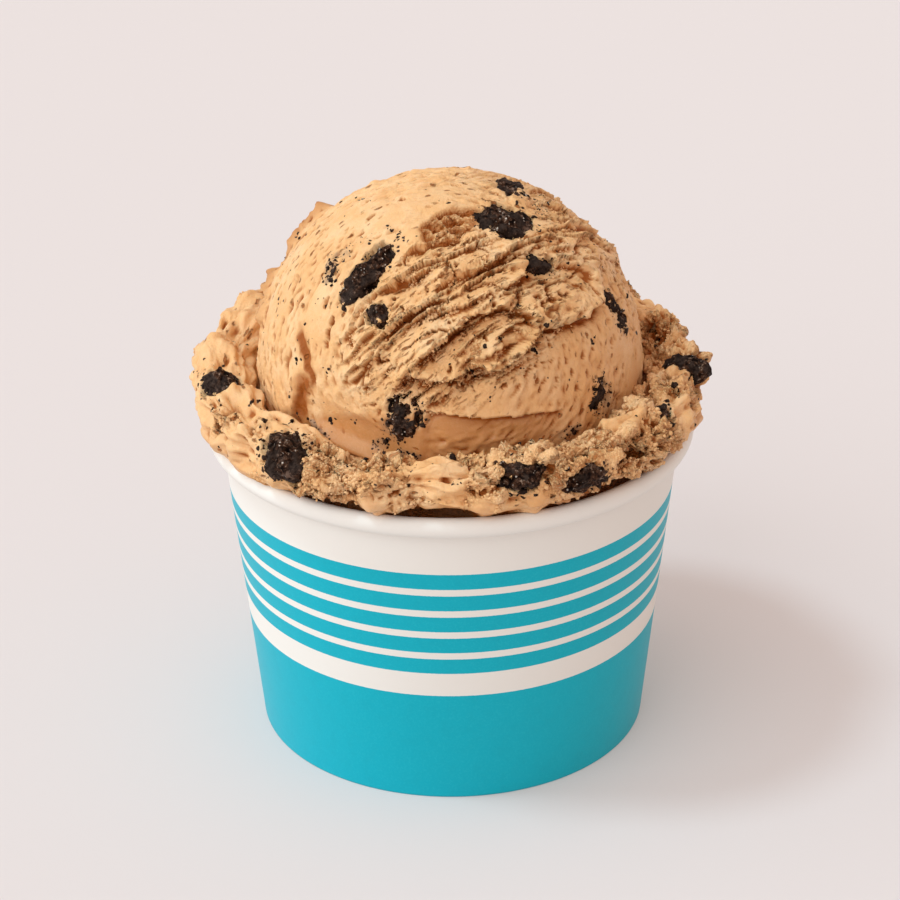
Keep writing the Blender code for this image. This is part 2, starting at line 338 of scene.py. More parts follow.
def crumbs(points, size, salt=0):
    """Packed round crumbs of unlike sizes: how high the highest ball stands over each point.

    Every cell of a lattice holds one ball, put anywhere in it, 0.3 to 0.8 of a cell in radius.
    """
    scaled = points / size
    base = np.floor(scaled).astype(np.int64)
    height = np.zeros(points.shape[:-1])
    for shift in np.ndindex(3, 3, 3):
        cell = base + np.array(shift) - 1
        seed = cell + np.stack([dice(cell, salt * 5 + k) for k in range(3)], -1)
        ball_r = 0.3 + 0.5 * dice(cell, salt * 5 + 3)
        away = np.sum((seed - scaled) ** 2, axis=-1)
        height = np.maximum(height, np.sqrt(np.clip(ball_r ** 2 - away, 0.0, None)))
    return height


def outward(points):
    """Unit normals of a grid whose rows run down the outside and columns anticlockwise."""
    along = np.roll(points, -1, 1) - np.roll(points, 1, 1)
    down = np.gradient(points, axis=0)
    normal = np.cross(down, along)
    return normal / np.maximum(np.linalg.norm(normal, axis=-1, keepdims=True), 1e-12)


def sunken(height, reach, low, high):
    """Below its own average over a reach of cells a height grid gives up to 1, above it down to -1."""
    mean = height
    for axis in (0, 1):
        shifted = [np.roll(mean, k, axis) for k in range(-reach, reach + 1)]
        mean = sum(shifted) / len(shifted)
    return ease(mean - height, low, high) - ease(height - mean, low, high)


def lump_forms():
    """Each biscuit lump of the frame as a centre, three axes and three half lengths."""
    forms = {}
    for name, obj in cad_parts.items():
        if not name.startswith("biscuit_"):
            continue
        corners = np.array([tuple(v.co) for v in obj.data.vertices])
        centre = corners.mean(0)
        axes = np.linalg.svd(corners - centre, full_matrices=False)[2]
        reach = np.abs((corners - centre) @ axes.T).max(0)
        forms[name] = (centre, axes, reach)
    return forms


LUMPS = lump_forms()
# How much gelato still covers a lump, which then shows only in spots and lies deeper.
COVERED = {
    "biscuit_scoop_left_long": 0.12,
    "biscuit_scoop_left_small": 0.30,
    "biscuit_scoop_top_large": 0.15,
    "biscuit_scoop_crown": 0.3,
    "biscuit_scoop_right_sliver": 0.50,
    "biscuit_scoop_right_low": 0.55,
    "biscuit_scoop_front_low": 0.50,
    "biscuit_scoop_back_mid": 0.4,
    "biscuit_scoop_back_side": 0.50,
    "biscuit_collar_left": 0.2,
    "biscuit_collar_front_left": 0.10,
    "biscuit_collar_front_right": 0.2,
    "biscuit_collar_rim": 0.15,
    "biscuit_collar_right_small": 0.35,
    "biscuit_collar_back_left": 0.25,
}
# Tongues of gelato over a lump, from its centre: right, up and half width, in mm.
TONGUES = {"biscuit_collar_front_left": ((4.2, -2.1, 1.9), (-3.4, -3.5, 2.3), (3.9, 3.6, 2.0)),
           "biscuit_scoop_crown": ((1.5, -1.3, 1.9),),
           "biscuit_scoop_hollow": ((0.3, 2.3, 1.6),),
           "biscuit_collar_rim": ((2.9, 2.7, 2.3),),
           "biscuit_collar_front_right": ((0.6, 3.0, 1.5), (-5.0, 1.3, 1.7))}
# Lumps made larger or smaller than the frame's, and by how much.
LARGER = {"biscuit_collar_right": 1.22, "biscuit_scoop_back_high": 0.86}
# Cocoa smeared thin under the gelato's skin: azimuth and rise seen from the scoop's centre,
# half width and half height in degrees, strength.
SMEARS = ((-145.0, 46.0, 5.5, 7.0, 1.0), (-131.0, 62.0, 5.0, 2.5, 0.6), (-112.0, 35.0, 9.0, 4.0, 0.5),
          (-40.0, 6.0, 5.0, 10.0, 0.75), (-54.0, -2.0, 5.0, 2.5, 0.8), (-107.0, 4.0, 5.0, 5.0, 0.75),
          (-111.0, -2.5, 4.0, 3.0, 0.8), (-120.0, 4.0, 3.0, 3.0, 0.6), (-131.0, -2.0, 5.0, 2.5, 1.0),
          (-102.0, -4.0, 5.0, 1.6, 1.0), (-22.0, 26.0, 3.0, 12.0, 0.7), (-48.0, 45.0, 9.0, 4.0, 0.6),
          (-60.0, 30.0, 6.0, 5.0, 0.45), (-10.0, 62.0, 22.0, 4.0, 0.6), (-138.0, 56.0, 6.0, 3.0, 0.6),
          (120.0, 45.0, 14.0, 8.0, 0.6), (65.0, 18.0, 8.0, 8.0, 0.6), (10.0, 30.0, 8.0, 8.0, 0.6))


def near_lumps(points, low, high):
    """1 well inside a lump's outline and 0 well outside it, by distance in lump radii."""
    away = np.full(points.shape[:-1], 9.0)
    for centre, axes, reach in LUMPS.values():
        away = np.minimum(away, np.linalg.norm(((points - centre) @ axes.T) / reach, axis=-1))
    return ease(away, low, high)


def sockets(points):
    """How far to sink the gelato so each lump shows, and how much cocoa lies round each point."""
    sink = np.zeros(points.shape[:-1])
    raised = np.zeros(points.shape[:-1])
    close = np.zeros(points.shape[:-1])
    ragged = 0.34 * noise(points, 3.0 * MM, 71) + 0.16 * noise(points, 1.2 * MM, 72) \
        + 0.06 * noise(points, 0.6 * MM, 75)
    spots = 0.5 + 0.5 * noise(points, 1.5 * MM, 73) + 0.35 * noise(points, 0.7 * MM, 74)
    for name, (centre, axes, reach) in LUMPS.items():
        away = np.linalg.norm(((points - centre) @ axes.T) / reach, axis=-1) / LARGER.get(name, 1.0)
        covered = COVERED.get(name, 0.0)
        shown = ease(spots, covered - 0.04, covered + 0.04) if covered else 1.0
        for right, up, half in TONGUES.get(name, ()):
            apart = points - centre
            apart = np.hypot(apart @ RIGHTWARD - right * MM, apart @ UPWARD - up * MM) / (half * MM)
            tongue = ease(apart + ragged, 1.1, 0.8) * ease(away, 1.6, 1.3)
            shown = shown * (1.0 - tongue)
            raised = np.maximum(raised, 0.9 * MM * tongue)
        sink = np.maximum(sink, 2.2 * MM * ease(away + ragged, 1.02, 0.95) * shown)
        close = np.maximum(close, ease(away + ragged, 1.45, 1.0) * 0.66)
    spoke = points - SCOOP_CENTRE
    on_scoop = ease(np.linalg.norm(spoke, axis=-1), SCOOP_R + 3.5 * MM, SCOOP_R + 2.0 * MM)
    rise = np.degrees(np.arctan2(spoke[..., 2], np.hypot(spoke[..., 0], spoke[..., 1])))
    turn = np.degrees(np.arctan2(spoke[..., 1], spoke[..., 0]))
    for az, el, wide, tall, strength in SMEARS:
        apart = (turn - az + 180.0) % 360.0 - 180.0
        away = np.hypot(apart / wide, (rise - el) / tall) + 1.2 * ragged
        close = np.maximum(close, strength * ease(away, 1.35, 0.55) * on_scoop)
    return sink - raised, close


def build_specks(tree, given, out):
    """Cocoa dust in three sizes: dark where a point is near enough to the middle of a chosen cell."""
    warp = node(tree, "TexNoise", Vector=given.outputs["Place"], Scale=2400.0, Detail=2.0)
    shifted = node(tree, "VectorMath", {"operation": "SCALE"}, _0=warp.outputs["Color"], Scale=0.0004)
    place = node(tree, "VectorMath", {"operation": "ADD"}, _0=given.outputs["Place"], _1=shifted.outputs[0])
    total = None
    for scale, share in ((2100.0, 0.8), (1050.0, 1.0), (560.0, 0.8)):
        cells = node(tree, "TexVoronoi", {"feature": "F1"}, Vector=place.outputs[0], Scale=scale)
        chance = node(tree, "SeparateColor", Color=cells.outputs["Color"]).outputs["Red"]
        amount = math(tree, "MULTIPLY", given.outputs["Amount"], share)
        keep = math(tree, "SUBTRACT", math(tree, "ADD", chance, amount), 1.0)
        size = math(tree, "MINIMUM", math(tree, "MULTIPLY", keep, 4.5), 0.36)
        spot = between(tree, math(tree, "SUBTRACT", size, cells.outputs["Distance"]), 0.0, 0.08)
        total = spot if total is None else math(tree, "MAXIMUM", total, spot)
    tree.links.new(total, out.inputs["Mask"])


specks = shader_group("cocoa_specks", [("Place", "vector", None), ("Amount", "value", 0.1)],
                      [("Mask", "value")], build_specks)


def build_frozen(tree, given, out):
    """The fine skin of frozen paste: grain, pores and drawn streaks, as one height."""
    place, drawn = given.outputs["Place"], given.outputs["Drawn"]
    grain = node(tree, "TexNoise", Vector=place, Scale=1500.0, Detail=5.0, Roughness=0.65)
    streak = node(tree, "TexNoise", Vector=drawn, Scale=1100.0, Detail=4.0, Roughness=0.6)
    bent = node(tree, "VectorMath", {"operation": "SCALE"}, _0=grain.outputs["Color"], Scale=0.0007)
    bent = node(tree, "VectorMath", {"operation": "ADD"}, _0=bent.outputs[0], _1=drawn)
    pores = node(tree, "TexVoronoi", {"feature": "F1"}, Vector=bent.outputs[0], Scale=1050.0)
    patches = node(tree, "TexNoise", Vector=place, Scale=210.0, Detail=2.0).outputs["Fac"]
    chance = node(tree, "SeparateColor", Color=pores.outputs["Color"]).outputs["Green"]
    chance = math(tree, "ADD", chance, math(tree, "MULTIPLY", patches, 0.7))
    deep = math(tree, "MULTIPLY", between(tree, chance, 1.10, 1.22),
                between(tree, pores.outputs["Distance"], 0.34, 0.14))
    height = math(tree, "ADD", math(tree, "MULTIPLY", grain.outputs["Fac"], 0.8),
                  math(tree, "MULTIPLY", streak.outputs["Fac"], 0.7))
    height = math(tree, "SUBTRACT", height, math(tree, "MULTIPLY", deep, 1.2))
    tree.links.new(height, out.inputs["Height"])
    tree.links.new(deep, out.inputs["Pores"])
    tree.links.new(grain.outputs["Fac"], out.inputs["Grain"])


frozen_skin = shader_group("frozen_skin", [("Place", "vector", None), ("Drawn", "vector", None)],
                           [("Height", "value"), ("Pores", "value"), ("Grain", "value")], build_frozen)

# The colours in turn: base, a paler tone that is also the painted highlight on crests, painted shade,
# the painted shadow under the collar, melt that also paints shade low on the front, cocoa, cocoa film.
GELATO = (0.81, 0.455, 0.195)
GELATO_PALE_AND_HIGHLIGHT = (0.93, 0.66, 0.39)
GELATO_PAINTED_SHADE = (0.37, 0.10, 0.012)
GELATO_PAINTED_GAP_SHADOW = (0.19, 0.070, 0.020)
GELATO_WET_AND_SHADED = (0.52, 0.208, 0.060)
COCOA = (0.034, 0.011, 0.004)
COCOA_FILM = (0.28, 0.185, 0.125)


def gelato_material(name, subsurface):
    """Gelato: painted shade in hollows and a painted highlight on crests, torn parts rougher, melt smooth
    and wet, its darker colour also painting shade low on the scoop's front.

    Reads the piece's attributes torn, crumb, melt and cocoa (0 to 1), hollow, the painted shading
    (-1 for a painted highlight on crests, 1 for painted shade in hollows, 2 for the painted shadow
    in the gap under the collar), and the vectors drawn, used where it is torn, and wiped, used elsewhere.
    """
    material, tree, shader = new_material(
        name, IOR=1.38, Subsurface_Weight=subsurface, Subsurface_Scale=0.0005,
        Subsurface_Radius=(1.0, 0.60, 0.40), Specular_IOR_Level=0.42)
    place = node(tree, "TexCoord").outputs["Object"]
    felt = {word: node(tree, "Attribute", {"attribute_name": word}).outputs["Fac"]
            for word in ("torn", "crumb", "hollow", "melt", "cocoa")}
    along = [node(tree, "Attribute", {"attribute_name": word}).outputs["Vector"]
             for word in ("wiped", "drawn")]
    is_torn = math(tree, "GREATER_THAN", felt["torn"], 0.5)
    drawn = node(tree, "Mix", {"data_type": "VECTOR"}, Factor=is_torn, A=along[0], B=along[1]).outputs[1]
    skin = node(tree, "Group", {"node_tree": frozen_skin}, Place=place, Drawn=drawn)
    patchy = node(tree, "TexNoise", Vector=place, Scale=140.0, Detail=2.0).outputs["Fac"]
    base = math(tree, "MULTIPLY", between(tree, patchy, 0.35, 0.7), 0.08)
    thick = math(tree, "MULTIPLY", felt["cocoa"], felt["cocoa"])
    amount = math(tree, "ADD", math(tree, "MULTIPLY", thick, 0.62), base)
    dust = node(tree, "Group", {"node_tree": specks}, Place=place, Amount=amount).outputs["Mask"]
    cloud = node(tree, "TexNoise", Vector=place, Scale=190.0, Detail=5.0, Roughness=0.6).outputs["Fac"]
    # A random paler tone, with a painted highlight on crests, where the hollow value is below 0.
    pale = math(tree, "MULTIPLY", between(tree, cloud, 0.35, 0.72), 0.5)
    pale = math(tree, "SUBTRACT", pale, math(tree, "MULTIPLY", felt["hollow"], 1.2), clamp=True)
    colour = blend(tree, pale, GELATO, GELATO_PALE_AND_HIGHLIGHT)
    # The melt colour, real on the drops; on the scoop's lower front it also paints the shade there.
    colour = blend(tree, math(tree, "MULTIPLY", felt["melt"], 0.75, clamp=True), colour, GELATO_WET_AND_SHADED)
    # Painted shade where the hollow value is above 0, and the painted shadow in the gap under the collar.
    colour = blend(tree, math(tree, "MULTIPLY", felt["hollow"], 1.1, clamp=True), colour, GELATO_PAINTED_SHADE)
    colour = blend(tree, between(tree, felt["hollow"], 1.0, 2.0), colour, GELATO_PAINTED_GAP_SHADOW)
    # Painted shade in the pores.
    colour = blend(tree, math(tree, "MULTIPLY", skin.outputs["Pores"], 0.85), colour, GELATO_PAINTED_SHADE)
    # Painted shade along the fine tears, which are also cut into the relief below.
    tear = node(tree, "TexNoise", Vector=drawn, Scale=1500.0, Detail=3.0, Roughness=0.55).outputs["Fac"]
    tears = math(tree, "MULTIPLY", between(tree, tear, 0.57, 0.67), felt["torn"])
    colour = blend(tree, math(tree, "MULTIPLY", tears, 0.7), colour, GELATO_PAINTED_SHADE)
    # Packed grains of half a millimetre where it has crumbled, with painted shade between them.
    bent = node(tree, "TexNoise", Vector=place, Scale=900.0, Detail=2.0).outputs["Color"]
    bent = node(tree, "VectorMath", {"operation": "SCALE"}, _0=bent, Scale=0.0006)
    bent = node(tree, "VectorMath", {"operation": "ADD"}, _0=bent.outputs[0], _1=place)
    cells = node(tree, "TexVoronoi", {"feature": "F1"}, Vector=bent.outputs[0], Scale=1900.0)
    apart = cells.outputs["Distance"]
    grains = math(tree, "MULTIPLY", between(tree, apart, 0.70, 0.15), felt["crumb"])
    chinks = math(tree, "MULTIPLY", between(tree, apart, 0.45, 0.72), felt["crumb"])
    colour = blend(tree, math(tree, "MULTIPLY", chinks, 0.65), colour, GELATO_PAINTED_SHADE)
    film = math(tree, "MULTIPLY", between(tree, felt["cocoa"], 0.55, 1.0), between(tree, cloud, 0.3, 0.6))
    colour = blend(tree, math(tree, "MULTIPLY", film, 0.75), colour, COCOA_FILM)
    colour = blend(tree, dust, colour, COCOA)
    tree.links.new(colour, shader.inputs["Base Color"])
    matt = math(tree, "ADD", 0.36, math(tree, "MULTIPLY", skin.outputs["Grain"], 0.25))
    matt = math(tree, "SUBTRACT", matt, math(tree, "MULTIPLY", felt["melt"], 0.22))
    tree.links.new(matt, shader.inputs["Roughness"])
    relief = math(tree, "SUBTRACT", skin.outputs["Height"], math(tree, "MULTIPLY", dust, 0.4))
    relief = math(tree, "SUBTRACT", relief, math(tree, "MULTIPLY", tears, 1.1))
    relief = math(tree, "ADD", relief, math(tree, "MULTIPLY", grains, 0.8))
    smooth = math(tree, "SUBTRACT", 1.0, math(tree, "MULTIPLY", felt["melt"], 0.8))
    bump = node(tree, "Bump", Strength=1.0, Distance=0.00036, Height=math(tree, "MULTIPLY", relief, smooth))
    tree.links.new(bump.outputs["Normal"], shader.inputs["Normal"])
    return material


gelato = gelato_material("coffee_gelato", 0.12)


def paint(piece, **layers):
    """Store arrays as the piece's attributes, one value or one vector for each point."""
    for word, values in layers.items():
        kind, field = ("FLOAT_VECTOR", "vector") if values.ndim == 2 else ("FLOAT", "value")
        layer = piece.data.attributes.new(word, kind, "POINT")
        layer.data.foreach_set(field, np.ascontiguousarray(values, dtype=np.float32).ravel())


def with_poles(values, start, end):
    """Flatten grid values and add the values of the two points that close the ends."""
    flat = values.reshape(-1, *values.shape[2:])
    return np.concatenate([flat, np.array([start], float).reshape(1, *flat.shape[1:]),
                           np.array([end], float).reshape(1, *flat.shape[1:])])


# The scoop was rolled about this axis, so its flakes run in circles round it; the disher's
# edge then wiped the outside in circles round the forward direction.
ROLL_AXIS = 0.50 * RIGHTWARD - 0.80 * UPWARD + 0.33 * FORWARD
ROLL_AXIS = ROLL_AXIS / np.linalg.norm(ROLL_AXIS)


def drawn_place(direction, axis, drawn_out):
    """A place stretched along circles round the axis: its distance from it, and the rest drawn out."""
    lean = np.arccos(np.clip(direction @ axis, -1.0, 1.0))
    rest = direction - (direction @ axis)[..., None] * axis
    return SCOOP_R * (lean[..., None] * axis + rest / drawn_out)


def fine_front(count, crowd):
    """Azimuths once round from the back, closer together at the front (-Y) by crowd."""
    turn = np.linspace(-np.pi, np.pi, count, endpoint=False)
    return -np.pi / 2 + turn - crowd * np.sin(turn)


def hill(azimuth, centre, half_width):
    """A smooth bump of height 1 at the centre azimuth, worn away to the sides, in degrees."""
    away = (azimuth - centre + 180.0) % 360.0 - 180.0
    return np.exp(-((away / half_width) ** 2))


# =====================================================================================
# The collar and the fill. Gelato squeezed out from under the scoop stands up round it in
# crumbly lobes and rests on the rim; below, the fill lies against the inside of the cup.
# =====================================================================================
RING_R = 41.2 * MM
RING_HALF = 5.3 * MM
RING_Z = 66.4 * MM
RING_SQUARE = 0.78
FILL_FOOT = 6.6 * MM

# How far out the lower edge stands, in mm, round the cup: beyond 43.5 it lies on the rolled
# rim, within 42 it leaves a shaded gap behind the rim.
EDGE = ((-174, 45.0), (-161, 45.4), (-153, 44.3), (-147, 45.2), (-138, 44.9), (-132, 43.4), (-125, 41.5),
        (-118, 40.0), (-111, 41.4), (-107, 44.2), (-103, 41.4), (-95, 39.0), (-88, 39.6), (-83, 43.2),
        (-77, 42.4), (-71, 44.3), (-67, 42.2), (-57, 40.6), (-45, 40.3), (-35, 40.0), (-27, 40.9),
        (-20, 43.8), (-10, 45.4), (5, 44.2), (20, 43.6), (35, 42.5), (50, 43.5), (62, 41.5),
        (75, 44.2), (90, 43.0), (105, 41.6), (118, 43.2), (130, 44.0), (142, 42.4), (155, 44.6), (170, 45.3))
# Where it is torn into crumbs rather than pressed smooth: azimuth, half width, how much.
CRUMBLY = ((-113.0, 15.0, 1.0), (-84.0, 9.0, 0.55), (-64.0, 13.0, 0.95), (-38.0, 15.0, 0.8),
           (-8.0, 14.0, 0.6), (62.0, 26.0, 0.8), (118.0, 20.0, 0.55), (158.0, 10.0, 0.45),
           (-165.0, 12.0, 0.22), (-142.0, 7.0, 0.3), (16.0, 13.0, 0.7))
# Knobs that stand out of it, and clefts between them: azimuth, half width, place down the
# section (0 to 1), how far out (mm).
KNOBS = ((-116.0, 2.2, 0.50, -2.0), (-98.0, 2.0, 0.55, -1.6), (-60.0, 2.4, 0.45, -2.4),
         (-33.0, 2.4, 0.60, -1.8), (-107.0, 4.2, 0.58, 2.4), (-126.0, 5.0, 0.62, 1.2),
         (-90.0, 4.0, 0.60, 0.8), (-66.0, 4.5, 0.45, 1.3),
         (-40.0, 5.0, 0.55, 1.2), (-166.0, 6.0, 0.45, 1.2), (-150.0, 4.0, 0.60, 1.0), (20.0, 6.0, 0.35, 1.6),
         (60.0, 6.0, 0.55, 1.5), (95.0, 6.0, 0.4, 1.5), (151.0, 4.0, 0.35, 1.8), (175.0, 5.0, 0.4, 1.2))
# Melted drops on the rim: azimuth, half width.
DROPS = ((-107.0, 3.6), (-83.0, 3.4), (-71.0, 3.2), (-148.0, 7.0), (-165.0, 9.0), (-14.0, 8.0), (75.0, 7.0),
         (155.0, 8.0))


def spline(controls, count):
    """Points along a quadratic B-spline through the middles of a list of control arrays."""
    at = np.linspace(0.0, len(controls) - 2 - 1e-9, count)
    made = []
    for t in at:
        i, f = int(t), t - int(t)
        made.append(0.5 * (1 - f) ** 2 * controls[i] + (0.5 + f - f * f) * controls[i + 1]
                    + 0.5 * f * f * controls[i + 2])
    return np.stack(made)


def collar_grid():
    """The ring's section, swept round: up from the scoop, over the crest, out, and in to the rim."""
    azimuth = fine_front(600, 0.42)
    degrees = np.degrees(azimuth)
    tube = np.radians(np.linspace(166.0, -10.0, 94))
    tu = np.repeat(tube[:, None], len(azimuth), axis=1)
    c, s = np.cos(tu), np.sin(tu)
    out = np.sign(c) * np.abs(c) ** RING_SQUARE
    up = np.sign(s) * np.abs(s) ** RING_SQUARE
    radius = RING_R + RING_HALF * out
    height = RING_Z + RING_HALF * up
    lift = 3.0 * MM * hill(degrees, 150.0, 38.0) + 1.8 * MM * hill(degrees, 35.0, 28.0) \
        - 1.6 * MM * hill(degrees, -112.0, 13.0)
    spread = 0.3 * MM * hill(degrees, -25.0, 20.0) - 1.4 * MM * hill(degrees, 12.0, 24.0) \
        - 0.3 * MM * hill(degrees, -90.0, 45.0)
    radius = radius + spread * ease(radius, RING_R - 3.0 * MM, RING_R + 1.0 * MM)
    height = height + lift * np.clip(up, 0.0, 1.0)
    edge_at, edge_out = np.array(EDGE, float).T
    edge = np.interp(degrees, edge_at, edge_out, period=360.0) * MM
    gap = ease(edge, 43.6 * MM, 41.2 * MM)
    end, step = np.stack([radius[-1], height[-1]], -1), np.array([0.0, -0.5 * MM])

    def spot(r, z):
        return np.stack([np.broadcast_to(r, edge.shape), np.broadcast_to(z, edge.shape)], -1)

    cut_back = hill(degrees, -34.0, 10.0)
    path = [end - step, end + step,
            spot(edge + 1.3 * MM + (2.0 - 1.6 * cut_back) * MM * gap, (63.0 + 1.3 * cut_back) * MM),
            spot(edge + 0.5 * MM + 0.2 * MM * gap, 62.2 * MM + 0.6 * MM * gap), spot(edge, 61.4 * MM),
            spot(np.minimum(edge - 0.2 * MM, 43.4 * MM), 61.5 * MM - 0.9 * MM * gap),
            spot(41.3 * MM, 60.9 * MM - 1.5 * MM * gap), spot(41.4 * MM, 57.5 * MM)]
    lower = spline(path, 40)
    radius = np.concatenate([radius, lower[1:, :, 0]])
    height = np.concatenate([height, lower[1:, :, 1]])
    ring = np.stack([np.cos(azimuth), np.sin(azimuth), np.zeros_like(azimuth)], -1)
    points = ring[None] * radius[..., None]
    points[..., 2] = height
    squeezed = ring[None] * (RING_R / 3.0 + radius - RING_R)[..., None]
    squeezed[..., 2] = height
    return degrees, points, squeezed, ring, gap


def gelato_body():
    """Broad lobes and folds first, then crumbs of three sizes out of the folded surface."""
    degrees, points, squeezed, ring, gap = collar_grid()
    rows = len(points)
    row = np.arange(rows)[:, None] / (rows - 1.0)
    hold = ease(row, 0.0, 0.08) * ease(row, 0.93, 0.80)
    under = ease(row, 0.70, 0.80)
    low = ease(row, 0.58, 0.74)
    crumbly = np.clip(sum(much * hill(degrees, at, wide) for at, wide, much in CRUMBLY), 0.0, 1.0)
    crumbly = np.clip(crumbly + 0.9 * noise(points, 8.0 * MM, 6), 0.0, 1.0)
    drop = np.clip(sum(hill(degrees, at, wide) for at, wide in DROPS), 0.0, 1.0) * low
    crumbly = ease(crumbly, 0.25, 0.7) * (1.0 - ease(drop, 0.2, 0.7))
    pressed = 1.0 - crumbly
    a = np.radians(degrees)
    lobes = 0.5 * np.sin(5 * a + 0.7) + 0.35 * np.sin(9 * a + 2.1) + 0.25 * np.sin(13 * a)
    folds = rough(points, 7.0 * MM, 2, 31)
    strokes = noise(squeezed, 2.3 * MM, 33)
    scallop = crumbs(points, 8.0 * MM, 34) - 0.35
    # The fold that climbs over the collar at the right front, from the rim to the inner side.
    climb = row - 0.62 + 0.0135 * (degrees + 60.0)
    fold = np.exp(-(climb / 0.075) ** 2) * ease(degrees, -70.0, -60.0) * ease(degrees, -10.0, -26.0)
    relief = 0.5 * MM * lobes + 1.6 * MM * folds + 1.7 * MM * strokes * pressed + 2.2 * MM * scallop
    relief += 1.6 * MM * fold + 0.9 * MM * drop
    for at, wide, down, out in KNOBS:
        relief += out * MM * hill(degrees, at, wide) * np.exp(-((row - down) / 0.11) ** 2)
    shifted = points + 0.6 * MM * noise(points, 1.5 * MM, 36)[..., None]
    cracks = ease(np.abs(noise(shifted, 5.0 * MM, 35)), 0.13, 0.0)
    relief -= 2.0 * MM * cracks * crumbly * (1.0 - ease(drop, 0.1, 0.5))
    calm = 1.0 - 0.85 * near_lumps(points, 1.45, 1.0)
    relief *= calm
    normal = outward(points)
    moved = points + normal * (relief * hold * (1.0 - 0.75 * under))[..., None]
    normal = outward(moved)
    warped = moved + 1.5 * MM * np.stack([noise(moved, 2.6 * MM, k) for k in (21, 22, 23)], -1)
    warped += 0.6 * MM * np.stack([noise(moved, 0.9 * MM, k) for k in (24, 25, 26)], -1)
    grit = 1.9 * creased(warped, 4.6 * MM, 41) + 0.45 * creased(warped, 2.1 * MM, 44)
    fine_here = ease(noise(points, 4.5 * MM, 50), -0.15, 0.25)
    grit += fine_here * (0.7 * (crumbs(warped, 1.9 * MM, 42) - 0.34)
                         + 0.40 * (crumbs(warped, 0.95 * MM, 43) - 0.34))
    grit = MM * (grit + 1.2 * noise(squeezed, 2.0 * MM, 53) + 0.5 * noise(squeezed, 1.0 * MM, 54))
    # Torn steps that run round the ring: a saw-tooth down the section, broken by noise.
    steps_down = np.linalg.norm(np.diff(points, axis=0), axis=-1)
    down = np.concatenate([np.zeros((1, points.shape[1])), steps_down.cumsum(0)])
    for pitch, depth, salt in ((3.8, 1.4, 51), (1.9, 0.7, 52)):
        tooth = down / (pitch * MM) + 1.3 * noise(points, 6.0 * MM, salt) \
            + 0.55 * noise(points, 1.8 * MM, salt + 5) + 0.12 * noise(points, 0.8 * MM, salt + 9)
        saw = 1.0 - (tooth - np.floor(tooth))
        strength = ease(noise(points, 1.6 * pitch * MM, salt + 12), -0.1, 0.2)
        grit = grit + depth * MM * (saw ** 1.6 - 0.38) * strength
    pits = ease(crumbs(squeezed, 1.5 * MM, 45), 0.45, 0.70) * ease(noise(points, 5.0 * MM, 46), -0.2, 0.3)
    skin = 0.40 * MM * noise(squeezed, 1.1 * MM, 47) + 0.18 * MM * noise(squeezed, 0.6 * MM, 49) \
        - 0.75 * MM * pits
    fine_relief = crumbly * grit + pressed * skin
    fine_relief *= hold * (1.0 - 0.6 * under) * calm
    moved = moved + normal * fine_relief[..., None]
    whole_relief = fine_relief + 0.6 * relief
    # Painted shading: shade in the hollows of the relief and a highlight on its crests.
    hollow = sunken(whole_relief, 3, 0.06 * MM, 0.55 * MM) + sunken(whole_relief, 9, 0.25 * MM, 1.4 * MM)
    # More painted shade on the collar's right, beside and behind the scoop, where the scoop shades it;
    # the rest of the collar is moved 0.28 towards the paler colour.
    deeper = 0.65 * hill(degrees, 10.0, 32.0) + 0.25 * hill(degrees, -42.0, 16.0)
    hollow = np.clip(hollow - 0.28 + deeper, -1.0, 1.0)
    # The painted shadow in the gap under the collar, behind the rim.
    hollow = np.maximum(hollow, 2.0 * gap * ease(row, 0.74, 0.82))
    sink, close = sockets(moved)
    moved = moved - normal * (sink * hold)[..., None]
    # Nothing may lie inside the rolled rim: points there are lifted straight up out of it.
    radius = np.hypot(moved[..., 0], moved[..., 1])
    across = (radius - (RIM_R - ROLL_HALF_W)) / (ROLL_HALF_W + 0.15 * MM)
    arch = np.sqrt(np.clip(1.0 - across ** 2, 0.0, 1.0))
    roof = CUP_HEIGHT - ROLL_HALF_H + (ROLL_HALF_H + 0.15 * MM) * arch
    moved[..., 2] = np.where(np.abs(across) < 1.0, np.maximum(moved[..., 2], roof), moved[..., 2])
    base = np.array([(41.45, 56.0), (38.6, 34.0), (36.45, 7.2), (36.0, 6.6), (18.0, 6.6)]) * MM
    base = np.stack([ring * r + np.array([0.0, 0.0, z]) for r, z in base])
    core = np.array([(10.0, 62.0), (25.0, 63.0), (33.0, 65.0)]) * MM
    core = np.stack([ring * r + np.array([0.0, 0.0, z]) for r, z in core])
    whole = np.concatenate([core, moved, base])
    piece = surface("gelato_body", whole, start=(0.0, 0.0, 62.0 * MM), end=(0.0, 0.0, FILL_FOOT))

    def layer(values):
        above = np.zeros((len(core), values.shape[1]))
        below = np.zeros((len(base), values.shape[1]))
        return with_poles(np.concatenate([above, values, below]), 0.0, 0.0)

    paint(piece, torn=layer(crumbly), crumb=layer(crumbly * (0.35 + 0.65 * fine_here)),
          hollow=layer(hollow), melt=layer(0.4 * ease(drop, 0.3, 0.8)),
          cocoa=layer(np.maximum(close, 0.22 * ease(noise(points, 6.0 * MM, 48), 0.0, 0.4))))
    drawn = np.concatenate([core, squeezed, base])
    drawn = with_poles(drawn, drawn[0, 0], drawn[-1, 0])
    paint(piece, drawn=drawn, wiped=drawn)
    piece.data.materials.append(gelato)
    return piece, moved, outward(moved), crumbly * hold


body, collar_at, collar_out, collar_crumbly = gelato_body()
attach(body, "root")
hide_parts("gelato")


